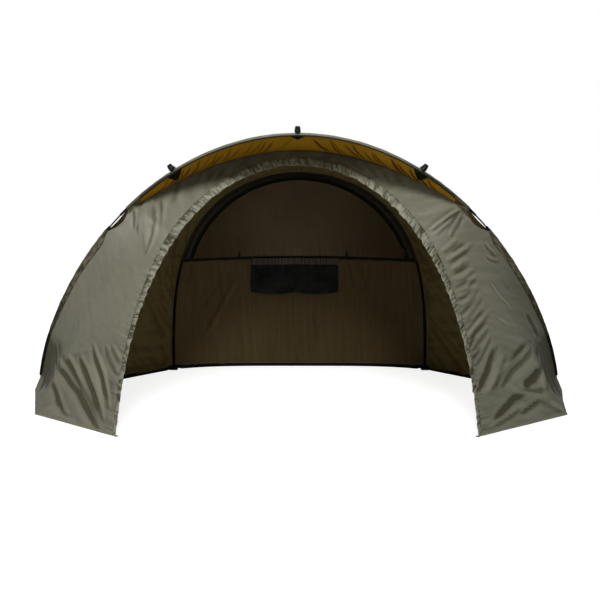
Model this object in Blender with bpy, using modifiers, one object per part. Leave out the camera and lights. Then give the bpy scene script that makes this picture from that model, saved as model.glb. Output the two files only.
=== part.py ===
"""Bivvy tent: two bent ribs, three roof poles and their cloth, pitched with the door open.

Metres, +Z up. The origin is on the ground, midway between the two pivots of the front rib.
The door faces -Y. The front rib leans forward and turns about the line through its pivots.
"""
from math import atan2, ceil, cos, pi, radians, sin, sqrt

import bmesh
import bpy
import numpy as np
from mathutils import Matrix, Vector

# Ribs
FRONT_HALF_WIDTH = 1.40
FRONT_RIB_REACH = 1.42
FRONT_RIB_LEAN = radians(20.0)
FRONT_RIB_EXPONENT = 1.5
REAR_HALF_WIDTH = 0.80
REAR_RIB_HEIGHT = 1.245
REAR_RIB_EXPONENT = 3.3
REAR_SETBACK = 0.93
ROD_RADIUS = 0.00425
FERRULE_RADIUS = 0.0062
FERRULE_LENGTH = 0.048
SLEEVE_BORE = 0.0068
SLEEVE_WALL = 0.0012
REAR_SLEEVE_BORE = 0.0103
REAR_SLEEVE_WALL = 0.0013

# Places along half a rib, as shares of its length from the foot to the crown
GAP_LOW_SHARE = 0.4815
GAP_HIGH_SHARE = 0.5556
TIP_SHARE = 0.60
SIDE_POLE_SHARE = 0.70
BOOT_LOW_SHARE = 0.045
BOOT_HIGH_SHARE = 0.16
LEG_STEPS = 11
GAP_STEPS = 3
TIP_STEPS = 3
ROOF_STEPS = 7

# Cloth
CLOTH = 0.0016
SEAM_GAP = 0.0006
TOUCH_GAP = 0.0003
GROUND_CLEAR = 0.003
ROOF_SAG = 0.022
SIDE_SAG = 0.018
GAP_INSET = 0.030
FOOT_INSET = 0.058
CANOPY_ROWS = 7
EDGE_ROW_SHARE = 0.035

# Door and wings
DOOR_HALF_WIDTH = 0.795
DOOR_HEIGHT = 1.228
DOOR_EXPONENT = 2.3
DOOR_REACH = 1.05
DOOR_SLOPE = 0.68
SEAM_HALF_WIDTH = 0.785
SEAM_RISE = 0.271
SEAM_HEIGHT = 1.309
BINDING_WIDTH = 0.036
BINDING_THICKNESS = 0.003
BINDING_RUFFLE = 0.0045
BINDING_RUFFLES = 40
BINDING_STEPS = 4
WING_PEG_X = 1.30
WING_PEG_REACH = 0.54
WING_ROWS = 11
WING_PEG_ROW = 5
WING_FLARE_SHARE = 0.42
WING_FOLD_DEPTH = 0.016
WING_FOLDS = 3.0
WING_FOLD_SHARE = 0.40

# Roof poles and the caps that hold them
POLE_RADIUS = 0.004
POLE_RISE = 0.0185
POLE_TAIL = 0.045
POLE_CLEARANCE = 0.0005
ROOF_SLEEVE_WALL = 0.0011
ROOF_SLEEVE_START_SHARE = 0.035
ROOF_SLEEVE_END_SHARE = 0.955
CAP_RADIUS = 0.0158
CAP_NECK_RADIUS = 0.0134
CAP_HEAD_RADIUS = 0.0092
CAP_HEIGHT = 0.040
CAP_RIBS = 3
CAP_BACK = 0.0095
GUIDE_WIDTH = 0.024
GUIDE_LENGTH = 0.030
GUIDE_HEIGHT = 0.027

# Pivot blocks of the front rib
PIVOT_HEIGHT = 0.030
PIN_RADIUS = 0.004
PIN_OVERHANG = 0.002
EYE_RADIUS = 0.0105
EYE_HALF_WIDTH = 0.010
CHEEK_THICKNESS = 0.006
CHEEK_RADIUS = 0.014
BLOCK_HALF_DEPTH = 0.021
BLOCK_HALF_WIDTH = 0.026
BASE_THICKNESS = 0.006
SOCKET_RADIUS = 0.0085
SOCKET_FLOOR = 0.018
SOCKET_TOP = 0.070
RUNNING_GAP = 0.0003

# Feet of the rear rib
FOOT_HALF_SIDE = 0.026
FOOT_CUP_RADIUS = 0.0085
FOOT_CUP_HEIGHT = 0.034

# Rear wall
TAPE_HEIGHT = 0.714
TAPE_DROP = 0.026
TAPE_WIDTH = 0.018
TAPE_THICKNESS = 0.0026
WALL_BULGE = 0.15
WALL_BULGE_EXPONENT = 1.4
WALL_COLUMNS = 20
WALL_ROWS = 7
ZIP_RADIUS = 0.706
ZIP_CENTRE_HEIGHT = 0.497
ZIP_WIDTH = 0.015
ZIP_THICKNESS = 0.0030
ZIP_COLUMNS = 28
BAND_ROWS = 2
WINDOW_ROWS = 7
WINDOW_WRINKLE = 0.005
WINDOW_WRINKLES = 7

# Zip slider and its puller
SLIDER_ANGLE = radians(20.6)
SLIDER_LENGTH = 0.026
SLIDER_WIDTH = 0.013
SLIDER_NOSE_WIDTH = 0.008
SLIDER_DEPTH = 0.004
LUG_HEIGHT = 0.0075
LUG_THICKNESS = 0.0018
LUG_HALF_GAP = 0.0026
LUG_HALF_LENGTH = 0.0028
PULL_PIN_RADIUS = 0.0009
PULL_EYE_RADIUS = 0.0021
PULL_LENGTH = 0.034
PULL_TIP_WIDTH = 0.0085
PULL_THICKNESS = 0.0026

# Pocket
POCKET_CENTRE_X = -0.030
POCKET_HALF_WIDTH = 0.274
POCKET_HEADER = 0.039
POCKET_DEPTH = 0.192
POCKET_BAG = 0.030
POCKET_THICKNESS = 0.0016
POCKET_COLUMNS = 20
POCKET_ROWS = 5
MOUTH_SHARE = 0.6
BAG_SAG_SHARE = 0.35
POCKET_CUSP = 0.012

# Toggles above the tape
TOGGLE_LEFT_X = -0.375
TOGGLE_RIGHT_X = 0.298
TOGGLE_RADIUS = 0.0065
TOGGLE_WAIST_RADIUS = 0.0042
TOGGLE_LENGTH = 0.040
TOGGLE_EYE_RADIUS = 0.0040
TOGGLE_PIN_RADIUS = 0.0016
TOGGLE_ANCHOR_HALF_WIDTH = 0.0060
TOGGLE_STANDOFF = 0.0072

# Lamp loop under the roof
LOOP_PLACE_SHARE = 0.89
LOOP_WIDTH = 0.026
LOOP_DROP = 0.038
LOOP_TAPE_THICKNESS = 0.0020
LOOP_HALF_DEPTH = 0.008

# Hems, pegging tabs, patches and clips
HEM_HEIGHT = 0.022
HEM_THICKNESS = 0.0016
HEM_CLEAR = 0.0010
TAB_WIDTH = 0.026
TAB_LENGTH = 0.036
TAB_THICKNESS = 0.0022
TAB_HOLE_RADIUS = 0.0065
TAB_LIFT = 0.0045
TAB_SHOULDER_SHARE = 0.7
TAB_SPLAY = 0.3
PATCH_HALF_WIDTH = 0.036
SIDE_PATCH_HALF_WIDTH = 0.042
PATCH_DEPTH = 0.060
SIDE_PATCH_DEPTH = 0.105
PATCH_STEPS = 6
PATCH_ROWS = 2
PATCH_TAPER_SHARE = 0.93
PATCH_START_SHARE = 0.02
PATCH_THICKNESS = 0.0012
CLIP_RADIUS = 0.0077
CLIP_LENGTH = 0.024
LINER_ROWS = 3
LINER_UNDERHANG_SHARE = 0.8

CURVE_SAMPLES = 400
CUT_OVERRUN = 0.004
WELD_DISTANCE = 0.00001
SAME_PLACE_SHARE = 0.000001


# Scene, materials and plain solids

def clear_scene():
    for item in list(bpy.data.objects):
        bpy.data.objects.remove(item, do_unlink=True)


def collection(name):
    made = bpy.data.collections.new(name)
    bpy.context.scene.collection.children.link(made)
    return made


def material(name, colour, roughness, metallic=0.0):
    made = bpy.data.materials.new(name)
    made.use_nodes = True
    shader = made.node_tree.nodes["Principled BSDF"]
    shader.inputs["Base Color"].default_value = (*colour, 1.0)
    shader.inputs["Roughness"].default_value = roughness
    shader.inputs["Metallic"].default_value = metallic
    return made


def place(name, data, finish=None, helper=False):
    """Put a mesh or curve in the tent's collection, or among the cutters."""
    made = bpy.data.objects.new(name, data)
    if helper:
        made.hide_render = True
        made.display_type = "WIRE"
        CUTTERS.objects.link(made)
    else:
        data.materials.append(finish)
        PARTS.objects.link(made)
    return made


def mesh_from(name, bm):
    data = bpy.data.meshes.new(name)
    bm.to_mesh(data)
    bm.free()
    return data


def round_off(item, angle=radians(35.0)):
    item.data.shade_smooth()
    item.data.set_sharp_from_angle(angle=angle)


def box(name, low, high, finish=None, helper=False, turn=None):
    """A block between two corners, turned by a matrix when one is given."""
    low, high = Vector(low), Vector(high)
    bm = bmesh.new()
    bmesh.ops.create_cube(bm, size=1.0)
    bmesh.ops.scale(bm, vec=high - low, verts=bm.verts)
    bmesh.ops.translate(bm, vec=(low + high) / 2, verts=bm.verts)
    made = place(name, mesh_from(name, bm), finish, helper)
    if turn is not None:
        made.matrix_world = turn
    return made


def cylinder(name, start, end, radius, finish=None, helper=False, sides=20, turn=None, end_radius=None):
    start, end = Vector(start), Vector(end)
    bm = bmesh.new()
    bmesh.ops.create_cone(bm, cap_ends=True, segments=sides, radius1=radius,
                          radius2=radius if end_radius is None else end_radius,
                          depth=(end - start).length)
    spin = (end - start).to_track_quat("Z", "Y").to_matrix().to_4x4()
    bmesh.ops.transform(bm, matrix=Matrix.Translation((start + end) / 2) @ spin, verts=bm.verts)
    made = place(name, mesh_from(name, bm), finish, helper)
    if turn is not None:
        made.matrix_world = turn
    round_off(made)
    return made


def boolean(item, other, operation):
    made = item.modifiers.new(operation.lower(), "BOOLEAN")
    made.operation = operation
    made.solver = "EXACT"
    made.object = other


def bevel(item, width, segments=2):
    made = item.modifiers.new("bevel", "BEVEL")
    made.width = width
    made.segments = segments
    made.limit_method = "ANGLE"
    made.angle_limit = radians(40.0)


def turned(name, profile, finish, steps=20, turn=None, helper=False):
    """A turned solid from a profile of radius and height, given from the top down."""
    bm = bmesh.new()
    rim = [bm.verts.new((radius, 0.0, height)) for radius, height in profile]
    for first, second in zip(rim, rim[1:]):
        bm.edges.new((first, second))
    made = place(name, mesh_from(name, bm), finish, helper)
    screw = made.modifiers.new("screw", "SCREW")
    screw.axis = "Z"
    screw.steps = steps
    screw.render_steps = steps
    screw.use_merge_vertices = True
    screw.merge_threshold = WELD_DISTANCE
    if turn is not None:
        made.matrix_world = turn
    return made


def frame_at(origin, x_axis, y_axis):
    """A matrix whose axes start along the two directions given."""
    x_axis = Vector(x_axis).normalized()
    z_axis = x_axis.cross(Vector(y_axis)).normalized()
    y_axis = z_axis.cross(x_axis)
    made = Matrix((x_axis, y_axis, z_axis)).transposed().to_4x4()
    made.translation = Vector(origin)
    return made


# Curves that the ribs and the cloth follow

def unit(vectors):
    vectors = np.asarray(vectors, float)
    return vectors / np.linalg.norm(vectors, axis=-1, keepdims=True)


def arch_half(half_width, height, exponent):
    """Right half of an arch, foot to crown, as x and height. The crown is round, the legs steeper."""
    swing = np.linspace(0.0, pi / 2, CURVE_SAMPLES)
    return half_width * np.cos(swing), height * np.sin(swing) ** (2.0 / exponent)


def by_length(points, shares):
    """Points at shares of a curve's own length."""
    points = np.asarray(points, float)
    steps = np.linalg.norm(np.diff(points, axis=0), axis=1)
    run = np.concatenate([[0.0], np.cumsum(steps)])
    return np.stack([np.interp(np.asarray(shares) * run[-1], run, points[:, k]) for k in range(3)], axis=1)


def mirrored(half):
    """A whole arch from its right half: left foot, crown, right foot."""
    half = np.asarray(half, float)
    return np.concatenate([half * (-1.0, 1.0, 1.0), half[::-1][1:]])


def station_shares():
    """Shares at which rods, sleeves and cloth all have a point, so that their facets agree."""
    leg = np.linspace(0.0, GAP_LOW_SHARE, LEG_STEPS + 1)
    gap = np.linspace(GAP_LOW_SHARE, GAP_HIGH_SHARE, GAP_STEPS + 1)[1:]
    tip = np.linspace(TIP_SHARE, SIDE_POLE_SHARE, TIP_STEPS)
    roof = np.linspace(SIDE_POLE_SHARE, 1.0, ROOF_STEPS + 1)[1:]
    return np.concatenate([leg, gap, tip, roof])


def front_plane(x, reach):
    """A point in the leaning plane of the front rib, at a reach from the line of its pivots."""
    reach = np.asarray(reach, float)
    return np.stack([x, -reach * sin(FRONT_RIB_LEAN), PIVOT_HEIGHT + reach * cos(FRONT_RIB_LEAN)], axis=-1)


def door_plane(x, height):
    """A point in the sloping plane of the door's edge and of the seam under the peak."""
    height = np.asarray(height, float)
    return np.stack([x, DOOR_SLOPE * height - DOOR_REACH, height], axis=-1)


def front_rib_half(shares):
    return by_length(front_plane(*arch_half(FRONT_HALF_WIDTH, FRONT_RIB_REACH, FRONT_RIB_EXPONENT)), shares)


def rear_rib_half(shares):
    x, height = arch_half(REAR_HALF_WIDTH, REAR_RIB_HEIGHT, REAR_RIB_EXPONENT)
    return by_length(np.stack([x, np.full_like(x, REAR_SETBACK), height], axis=-1), shares)


def door_half(shares):
    return by_length(door_plane(*arch_half(DOOR_HALF_WIDTH, DOOR_HEIGHT, DOOR_EXPONENT)), shares)


def arch_normals(points, across):
    """Outward normals of a whole arch that lies in the plane square to the direction across."""
    along = np.gradient(points, axis=0)
    return unit(np.cross(unit(along), across))


SHARES = station_shares()
HALF = len(SHARES) - 1
PLACES = np.concatenate([SHARES - 1.0, (1.0 - SHARES[::-1])[1:]])
FRONT = mirrored(front_rib_half(SHARES))
REAR = mirrored(rear_rib_half(SHARES))
DOOR = mirrored(door_half(SHARES))
FRONT_ACROSS = (0.0, cos(FRONT_RIB_LEAN), sin(FRONT_RIB_LEAN))
REAR_ACROSS = (0.0, 1.0, 0.0)
FRONT_OUT = arch_normals(FRONT, FRONT_ACROSS)
REAR_OUT = arch_normals(REAR, REAR_ACROSS)
SLEEVE_RADIUS = SLEEVE_BORE + SLEEVE_WALL
REAR_SLEEVE_RADIUS = REAR_SLEEVE_BORE + REAR_SLEEVE_WALL
TIP_STATION = int(np.argmin(np.abs(SHARES - TIP_SHARE)))
POLE_STATION = int(np.argmin(np.abs(SHARES - SIDE_POLE_SHARE)))


def at_place(points, place_along):
    """A point of a whole arch at a place from -1, the left foot, over 0, the crown, to 1."""
    return np.array([np.interp(place_along, PLACES, points[:, k]) for k in range(3)])


def stretch(points, low, high):
    """The part of a whole arch between two places."""
    inner = points[(PLACES > low + SAME_PLACE_SHARE) & (PLACES < high - SAME_PLACE_SHARE)]
    return np.concatenate([[at_place(points, low)], inner, [at_place(points, high)]])


# Rods, sleeves and sheets

def rod_curve(name, points, radius, resolution, caps):
    data = bpy.data.curves.new(name, "CURVE")
    data.dimensions = "3D"
    data.bevel_depth = radius
    data.bevel_resolution = resolution
    data.use_fill_caps = caps
    spline = data.splines.new("POLY")
    spline.points.add(len(points) - 1)
    for knot, point in zip(spline.points, points):
        knot.co = (*point, 1.0)
    return data


def as_mesh(name, curve_data):
    """The mesh of a curve, with its caps welded on."""
    guide = bpy.data.objects.new(name + "_guide", curve_data)
    CUTTERS.objects.link(guide)
    bpy.context.view_layer.update()
    solid = guide.evaluated_get(bpy.context.evaluated_depsgraph_get())
    data = bpy.data.meshes.new_from_object(solid)
    data.name = name
    bm = bmesh.new()
    bm.from_mesh(data)
    bmesh.ops.remove_doubles(bm, verts=bm.verts, dist=WELD_DISTANCE)
    bm.to_mesh(data)
    bm.free()
    bpy.data.objects.remove(guide, do_unlink=True)
    data.materials.clear()
    return data


def rod(name, points, radius, finish, resolution=2, helper=False):
    made = place(name, as_mesh(name, rod_curve(name, points, radius, resolution, True)), finish, helper)
    round_off(made, radians(60.0))
    return made


def sleeve(name, points, bore, wall, finish, resolution=2):
    """A cloth tube with both ends open."""
    made = place(name, as_mesh(name, rod_curve(name, points, bore, resolution, False)), finish)
    shell = made.modifiers.new("wall", "SOLIDIFY")
    shell.thickness = wall
    shell.offset = 1.0
    shell.use_even_offset = True
    round_off(made, radians(60.0))
    return made


def sheet(name, grid, thickness, finish):
    """A sheet of cloth whose middle surface passes through a grid of points."""
    grid = np.asarray(grid, float)
    columns, rows = grid.shape[0] - 1, grid.shape[1] - 1
    bm = bmesh.new()
    bmesh.ops.create_grid(bm, x_segments=columns, y_segments=rows, size=0.5)
    for vertex in bm.verts:
        column = round((vertex.co.x + 0.5) * columns)
        row = round((vertex.co.y + 0.5) * rows)
        vertex.co = grid[column, row]
    made = place(name, mesh_from(name, bm), finish)
    shell = made.modifiers.new("cloth", "SOLIDIFY")
    shell.thickness = thickness
    shell.offset = 0.0
    made.data.shade_smooth()
    return made


def loft(first, second, rows):
    """A grid of straight lines between two curves."""
    shares = np.linspace(0.0, 1.0, rows + 1)[None, :, None]
    return first[:, None, :] * (1.0 - shares) + second[:, None, :] * shares


def pinned_to(item, pivot):
    """Hang a moving piece on the empty that stands on its joint."""
    item.parent = pivot
    item.matrix_parent_inverse = Matrix.Translation(-pivot.location)


def empty(name, location):
    made = bpy.data.objects.new(name, None)
    made.location = location
    PARTS.objects.link(made)
    return made


# Ribs

def front_rib():
    """Two legs and an arch, with a ferrule over each joint where the rib is bare."""
    made = []
    half_run = np.linalg.norm(np.diff(FRONT, axis=0), axis=1).sum() / 2
    end_gap = TOUCH_GAP / half_run
    foot = SOCKET_FLOOR / half_run
    joint = 1.0 - GAP_HIGH_SHARE + FERRULE_LENGTH / 2 / half_run + end_gap
    for side, name in ((-1, "left"), (1, "right")):
        leg = sorted((side * (1.0 - foot), side * (joint + end_gap)))
        made.append(rod(f"front_rib_{name}_leg", stretch(FRONT, *leg), ROD_RADIUS, BLACK_ROD))
        made.append(ferrule(f"front_rib_{name}_ferrule", FRONT, side * joint, half_run))
    arch = stretch(FRONT, end_gap - joint, joint - end_gap)
    made.append(rod("front_rib_arch", arch, ROD_RADIUS, BLACK_ROD))
    return made


def ferrule(name, points, place_along, half_run):
    """A short tube over the butt of two rod sections."""
    reach = FERRULE_LENGTH / 2 / half_run
    ends = stretch(points, place_along - reach, place_along + reach)
    bore = ROD_RADIUS + TOUCH_GAP
    return sleeve(name, ends, bore, FERRULE_RADIUS - bore, PLASTIC)


def rear_rib():
    """One bent rod from foot to foot, and the black sleeve it runs in."""
    half_run = np.linalg.norm(np.diff(REAR, axis=0), axis=1).sum() / 2
    foot = (BASE_THICKNESS + TOUCH_GAP) / half_run
    rod("rear_rib", stretch(REAR, foot - 1.0, 1.0 - foot), ROD_RADIUS, BLACK_ROD, resolution=1)
    above_cup = (FOOT_CUP_HEIGHT + BASE_THICKNESS) / half_run
    sleeve("rear_rib_sleeve", stretch(REAR, above_cup - 1.0, 1.0 - above_cup),
           REAR_SLEEVE_BORE, REAR_SLEEVE_WALL, BLACK_WEBBING)


def front_sleeves():
    """The long sleeve along the peak, and a sleeve and a black boot down each leg."""
    high = 1.0 - GAP_HIGH_SHARE
    low = 1.0 - GAP_LOW_SHARE
    made = [sleeve("peak_sleeve", stretch(FRONT, -high, high), SLEEVE_BORE, SLEEVE_WALL, OLIVE)]
    part = SEAM_GAP / FRONT_RIB_REACH
    for side, name in ((-1, "left"), (1, "right")):
        upper = sorted((side * low, side * (1.0 - BOOT_HIGH_SHARE - part)))
        lower = sorted((side * (1.0 - BOOT_HIGH_SHARE), side * (1.0 - BOOT_LOW_SHARE)))
        made.append(sleeve(f"leg_sleeve_{name}", stretch(FRONT, *upper), SLEEVE_BORE, SLEEVE_WALL, OLIVE))
        made.append(sleeve(f"leg_boot_{name}", stretch(FRONT, *lower), SLEEVE_BORE, SLEEVE_WALL, BLACK_WEBBING))
    return made


def leg_clips():
    """A plastic ring on the rod at the top of each leg sleeve."""
    made = []
    half_run = np.linalg.norm(np.diff(FRONT, axis=0), axis=1).sum() / 2
    for side, name in ((-1, "left"), (1, "right")):
        near = side * (1.0 - GAP_LOW_SHARE - SEAM_GAP / half_run)
        far = near - side * CLIP_LENGTH / half_run
        ends = stretch(FRONT, *sorted((near, far)))
        bore = ROD_RADIUS + TOUCH_GAP
        made.append(sleeve(f"leg_clip_{name}", ends, bore, CLIP_RADIUS - bore, PLASTIC))
    return made


# Pivots and feet

def pivot_block(side, name):
    """A base with two cheeks and a pin, standing on the ground at a foot of the front rib."""
    middle = side * FRONT_HALF_WIDTH
    turn = Matrix.Translation((middle, 0.0, 0.0))
    block = box(f"pivot_block_{name}", (-BLOCK_HALF_WIDTH, -BLOCK_HALF_DEPTH, 0.0),
                (BLOCK_HALF_WIDTH, BLOCK_HALF_DEPTH, BASE_THICKNESS), PLASTIC, turn=turn)
    inner = EYE_HALF_WIDTH + RUNNING_GAP
    outer = inner + CHEEK_THICKNESS
    for hand in (-1, 1):
        near, far = sorted((hand * inner, hand * outer))
        wall = box(f"cheek_wall_{name}_{hand}", (near, -CHEEK_RADIUS, BASE_THICKNESS / 2),
                   (far, CHEEK_RADIUS, PIVOT_HEIGHT), helper=True, turn=turn)
        crown = cylinder(f"cheek_crown_{name}_{hand}", (near, 0.0, PIVOT_HEIGHT), (far, 0.0, PIVOT_HEIGHT),
                         CHEEK_RADIUS, helper=True, sides=24, turn=turn)
        boolean(wall, crown, "UNION")
        boolean(block, wall, "UNION")
    reach = outer + PIN_OVERHANG
    pin = cylinder(f"pivot_pin_{name}", (-reach, 0.0, PIVOT_HEIGHT), (reach, 0.0, PIVOT_HEIGHT), PIN_RADIUS,
                   helper=True, turn=turn)
    boolean(block, pin, "UNION")


def rib_socket(side, name):
    """The cup on a foot of the front rib, with the eye that turns on the pivot pin."""
    turn = Matrix.Translation((side * FRONT_HALF_WIDTH, 0.0, PIVOT_HEIGHT))
    column = 0 if side < 0 else 2 * HALF
    up = Vector(unit(FRONT[column - side] - FRONT[column]))
    socket = cylinder(f"rib_socket_{name}", (-EYE_HALF_WIDTH, 0.0, 0.0), (EYE_HALF_WIDTH, 0.0, 0.0),
                      EYE_RADIUS, PLASTIC, sides=24, turn=turn)
    cup = cylinder(f"socket_cup_{name}", (0.0, 0.0, 0.0), up * SOCKET_TOP, SOCKET_RADIUS,
                   helper=True, turn=turn, end_radius=SOCKET_RADIUS - SLEEVE_WALL)
    bore = cylinder(f"socket_bore_{name}", up * (SOCKET_FLOOR - TOUCH_GAP), up * (SOCKET_TOP + CUT_OVERRUN),
                    ROD_RADIUS + TOUCH_GAP * 2, helper=True, turn=turn)
    eye = cylinder(f"socket_eye_{name}", (-EYE_HALF_WIDTH - CUT_OVERRUN, 0.0, 0.0),
                   (EYE_HALF_WIDTH + CUT_OVERRUN, 0.0, 0.0), PIN_RADIUS + RUNNING_GAP, helper=True, turn=turn)
    boolean(socket, cup, "UNION")
    boolean(socket, bore, "DIFFERENCE")
    boolean(socket, eye, "DIFFERENCE")
    return socket


def rear_foot(side, name):
    """A flat foot with a cup for the rear rib's end."""
    turn = Matrix.Translation((side * REAR_HALF_WIDTH, REAR_SETBACK, 0.0))
    foot = box(f"rear_foot_{name}", (-FOOT_HALF_SIDE, -FOOT_HALF_SIDE, 0.0),
               (FOOT_HALF_SIDE, FOOT_HALF_SIDE, BASE_THICKNESS), PLASTIC, turn=turn)
    cup = cylinder(f"foot_cup_{name}", (0.0, 0.0, BASE_THICKNESS / 2), (0.0, 0.0, FOOT_CUP_HEIGHT),
                   FOOT_CUP_RADIUS, helper=True, turn=turn)
    bore = cylinder(f"foot_bore_{name}", (0.0, 0.0, BASE_THICKNESS), (0.0, 0.0, FOOT_CUP_HEIGHT + CUT_OVERRUN),
                    ROD_RADIUS + TOUCH_GAP * 2, helper=True, turn=turn)
    boolean(foot, cup, "UNION")
    boolean(foot, bore, "DIFFERENCE")


# Canopy and roof poles

def pole_lines():
    """The straight line of each roof pole: its name, its station and its points over the two ribs."""
    lines = []
    for name, station in (("left", POLE_STATION), ("centre", HALF), ("right", 2 * HALF - POLE_STATION)):
        start = FRONT[station] + FRONT_OUT[station] * POLE_RISE
        end = REAR[station] + REAR_OUT[station] * POLE_RISE
        lines.append((name, station, start, end))
    return lines


def canopy_rows():
    inner = np.linspace(EDGE_ROW_SHARE, 1.0 - EDGE_ROW_SHARE, CANOPY_ROWS)
    return np.concatenate([[0.0], inner, [1.0]])


def roof_lift():
    """How far the roof stands off the line between the ribs, at the poles and between them."""
    under = POLE_RADIUS + POLE_CLEARANCE + ROOF_SLEEVE_WALL + SEAM_GAP + CLOTH / 2
    steepest = min(float(np.linalg.norm(np.cross(FRONT_OUT[station], unit(end - start))))
                   for _, station, start, end in pole_lines())
    held = POLE_RISE - under / steepest
    lift = np.zeros(len(PLACES))
    sag = np.zeros(len(PLACES))
    for index, place_along in enumerate(PLACES):
        side_pole = 1.0 - SIDE_POLE_SHARE
        inwards = abs(place_along)
        if inwards <= side_pole:
            wave = sin(pi * inwards / side_pole) ** 2
            lift[index] = held * (1.0 - wave)
            sag[index] = ROOF_SAG * wave
        else:
            outwards = (inwards - side_pole) / SIDE_POLE_SHARE
            lift[index] = held * max(0.0, 1.0 - outwards / (1.0 - side_pole)) ** 6
            sag[index] = SIDE_SAG * sin(pi * outwards) ** 2
    return lift, sag


def canopy_grid():
    rows = canopy_rows()
    lift, sag = roof_lift()
    span = np.linalg.norm(REAR - FRONT, axis=1)
    bump = np.clip((SHARES - GAP_LOW_SHARE) / (GAP_HIGH_SHARE - GAP_LOW_SHARE), 0.0, 1.0)
    inset_half = GAP_INSET * np.sin(pi * bump)
    inset_half[0] = FOOT_INSET
    inset = np.concatenate([inset_half, inset_half[::-1][1:]])
    low = (SLEEVE_RADIUS + SEAM_GAP + inset) / span
    high = 1.0 - (REAR_SLEEVE_RADIUS + SEAM_GAP) / span
    high_foot = 1.0 - (FOOT_HALF_SIDE * sqrt(2.0) + SEAM_GAP) / span[0]
    high[0] = high[-1] = high_foot
    grid = np.zeros((len(PLACES), len(rows), 3))
    for j, row in enumerate(rows):
        share = low + (high - low) * row
        line = FRONT + (REAR - FRONT) * share[:, None]
        out = FRONT_OUT * (1.0 - share[:, None]) + REAR_OUT * share[:, None]
        edge = 0.0 if row in (0.0, 1.0) else 1.0
        height = lift * edge - sag * 4.0 * row * (1.0 - row)
        grid[:, j] = line + out * height[:, None]
    grid[0, :, 2] = grid[-1, :, 2] = GROUND_CLEAR
    return grid


def roof_poles():
    """Straight rods in cloth tubes on the roof. Each bears on a cap in front and passes a guide behind."""
    for name, station, start, end in pole_lines():
        line = unit(end - start)
        square = float(np.dot(line, FRONT_ACROSS))
        clear = (CAP_BACK + TOUCH_GAP + POLE_RADIUS * sqrt(1.0 - square ** 2)) / square
        front_end = start + line * clear
        rear_end = end + line * POLE_TAIL
        pole = cylinder(f"roof_pole_{name}", front_end, rear_end, POLE_RADIUS, BLACK_ROD, sides=12)
        slide = empty(f"roof_pole_{name}_slide", front_end)
        pinned_to(pole, slide)
        ends = (start + (end - start) * ROOF_SLEEVE_START_SHARE, start + (end - start) * ROOF_SLEEVE_END_SHARE)
        sleeve(f"roof_sleeve_{name}", ends, POLE_RADIUS + POLE_CLEARANCE, ROOF_SLEEVE_WALL, OLIVE)
        rear_guide(name, station, end, line)


def rear_guide(name, station, middle, line):
    """A plastic saddle on the rear sleeve that the roof pole passes through."""
    along = Vector(line)
    out = Vector(REAR_OUT[station])
    turn = frame_at(middle, along.cross(out), along)
    foot = REAR_SLEEVE_RADIUS + TOUCH_GAP - POLE_RISE
    guide = box(f"pole_guide_{name}", (-GUIDE_WIDTH / 2, -GUIDE_LENGTH / 2, foot),
                (GUIDE_WIDTH / 2, GUIDE_LENGTH / 2, GUIDE_HEIGHT - POLE_RISE), PLASTIC, turn=turn)
    bore = cylinder(f"guide_bore_{name}", (0.0, -GUIDE_LENGTH, 0.0), (0.0, GUIDE_LENGTH, 0.0),
                    POLE_RADIUS + TOUCH_GAP, helper=True, turn=turn)
    bevel(guide, CLOTH)
    boolean(guide, bore, "DIFFERENCE")


def pole_cap(name, station):
    """A ribbed knob on the peak's rim that the roof pole's front end bears on."""
    profile = [(0.0, CAP_HEIGHT), (CAP_HEAD_RADIUS, CAP_HEIGHT)]
    shoulder = SLEEVE_RADIUS + TOUCH_GAP
    step = (CAP_HEIGHT - shoulder) / (CAP_RIBS * 3 + 1)
    height = CAP_HEIGHT
    for index in range(CAP_RIBS):
        grow = (index + 1) / CAP_RIBS
        rib = CAP_HEAD_RADIUS + (CAP_RADIUS - CAP_HEAD_RADIUS) * sqrt(grow)
        groove = rib - (CAP_RADIUS - CAP_NECK_RADIUS) * grow
        height -= step
        profile.append((rib, height))
        profile.append((rib, height - step))
        profile.append((groove, height - step * 3 / 2))
        height -= step * 2
    profile.append((CAP_NECK_RADIUS, shoulder))
    profile.append((0.0, shoulder))
    out = Vector(FRONT_OUT[station])
    back = Vector(FRONT_ACROSS)
    turn = frame_at(FRONT[station], back.cross(out), back)
    cap = turned(f"pole_cap_{name}", profile, PLASTIC, turn=turn)
    flat = box(f"cap_flat_{name}", (-CAP_RADIUS * 2, CAP_BACK, 0.0),
               (CAP_RADIUS * 2, CAP_RADIUS * 2, CAP_HEIGHT * 2), helper=True, turn=turn)
    boolean(cap, flat, "DIFFERENCE")
    return cap


# Peak and front panel

def seam_line():
    """The seam under the peak, over the stations from one tip to the other."""
    tip = FRONT[TIP_STATION, 0]
    x = SEAM_HALF_WIDTH * FRONT[:, 0] / abs(tip)
    height = SEAM_HEIGHT - SEAM_RISE * (x / SEAM_HALF_WIDTH) ** 2
    return door_plane(x, height)


SEAM = seam_line()


def liner_grid(first, last, rows, offset=0.0):
    """The lining under the peak between two stations, moved down by an offset."""
    front, seam, out = FRONT[first:last + 1], SEAM[first:last + 1], FRONT_OUT[first:last + 1]
    under = unit(unit(seam - front) - out * LINER_UNDERHANG_SHARE)
    near = front + under * (SLEEVE_RADIUS + SEAM_GAP + CLOTH / 2)
    far = seam - unit(seam - near) * (CLOTH + SEAM_GAP)
    return loft(near, far, rows) - out[:, None, :] * offset


def liner_at(grid, rib_x, x, share):
    """A point of the lining where the rib is at x, at a share of the way from the rim to the seam."""
    near = np.array([np.interp(x, rib_x, grid[:, 0, k]) for k in range(3)])
    far = np.array([np.interp(x, rib_x, grid[:, -1, k]) for k in range(3)])
    return near + (far - near) * share


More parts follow.
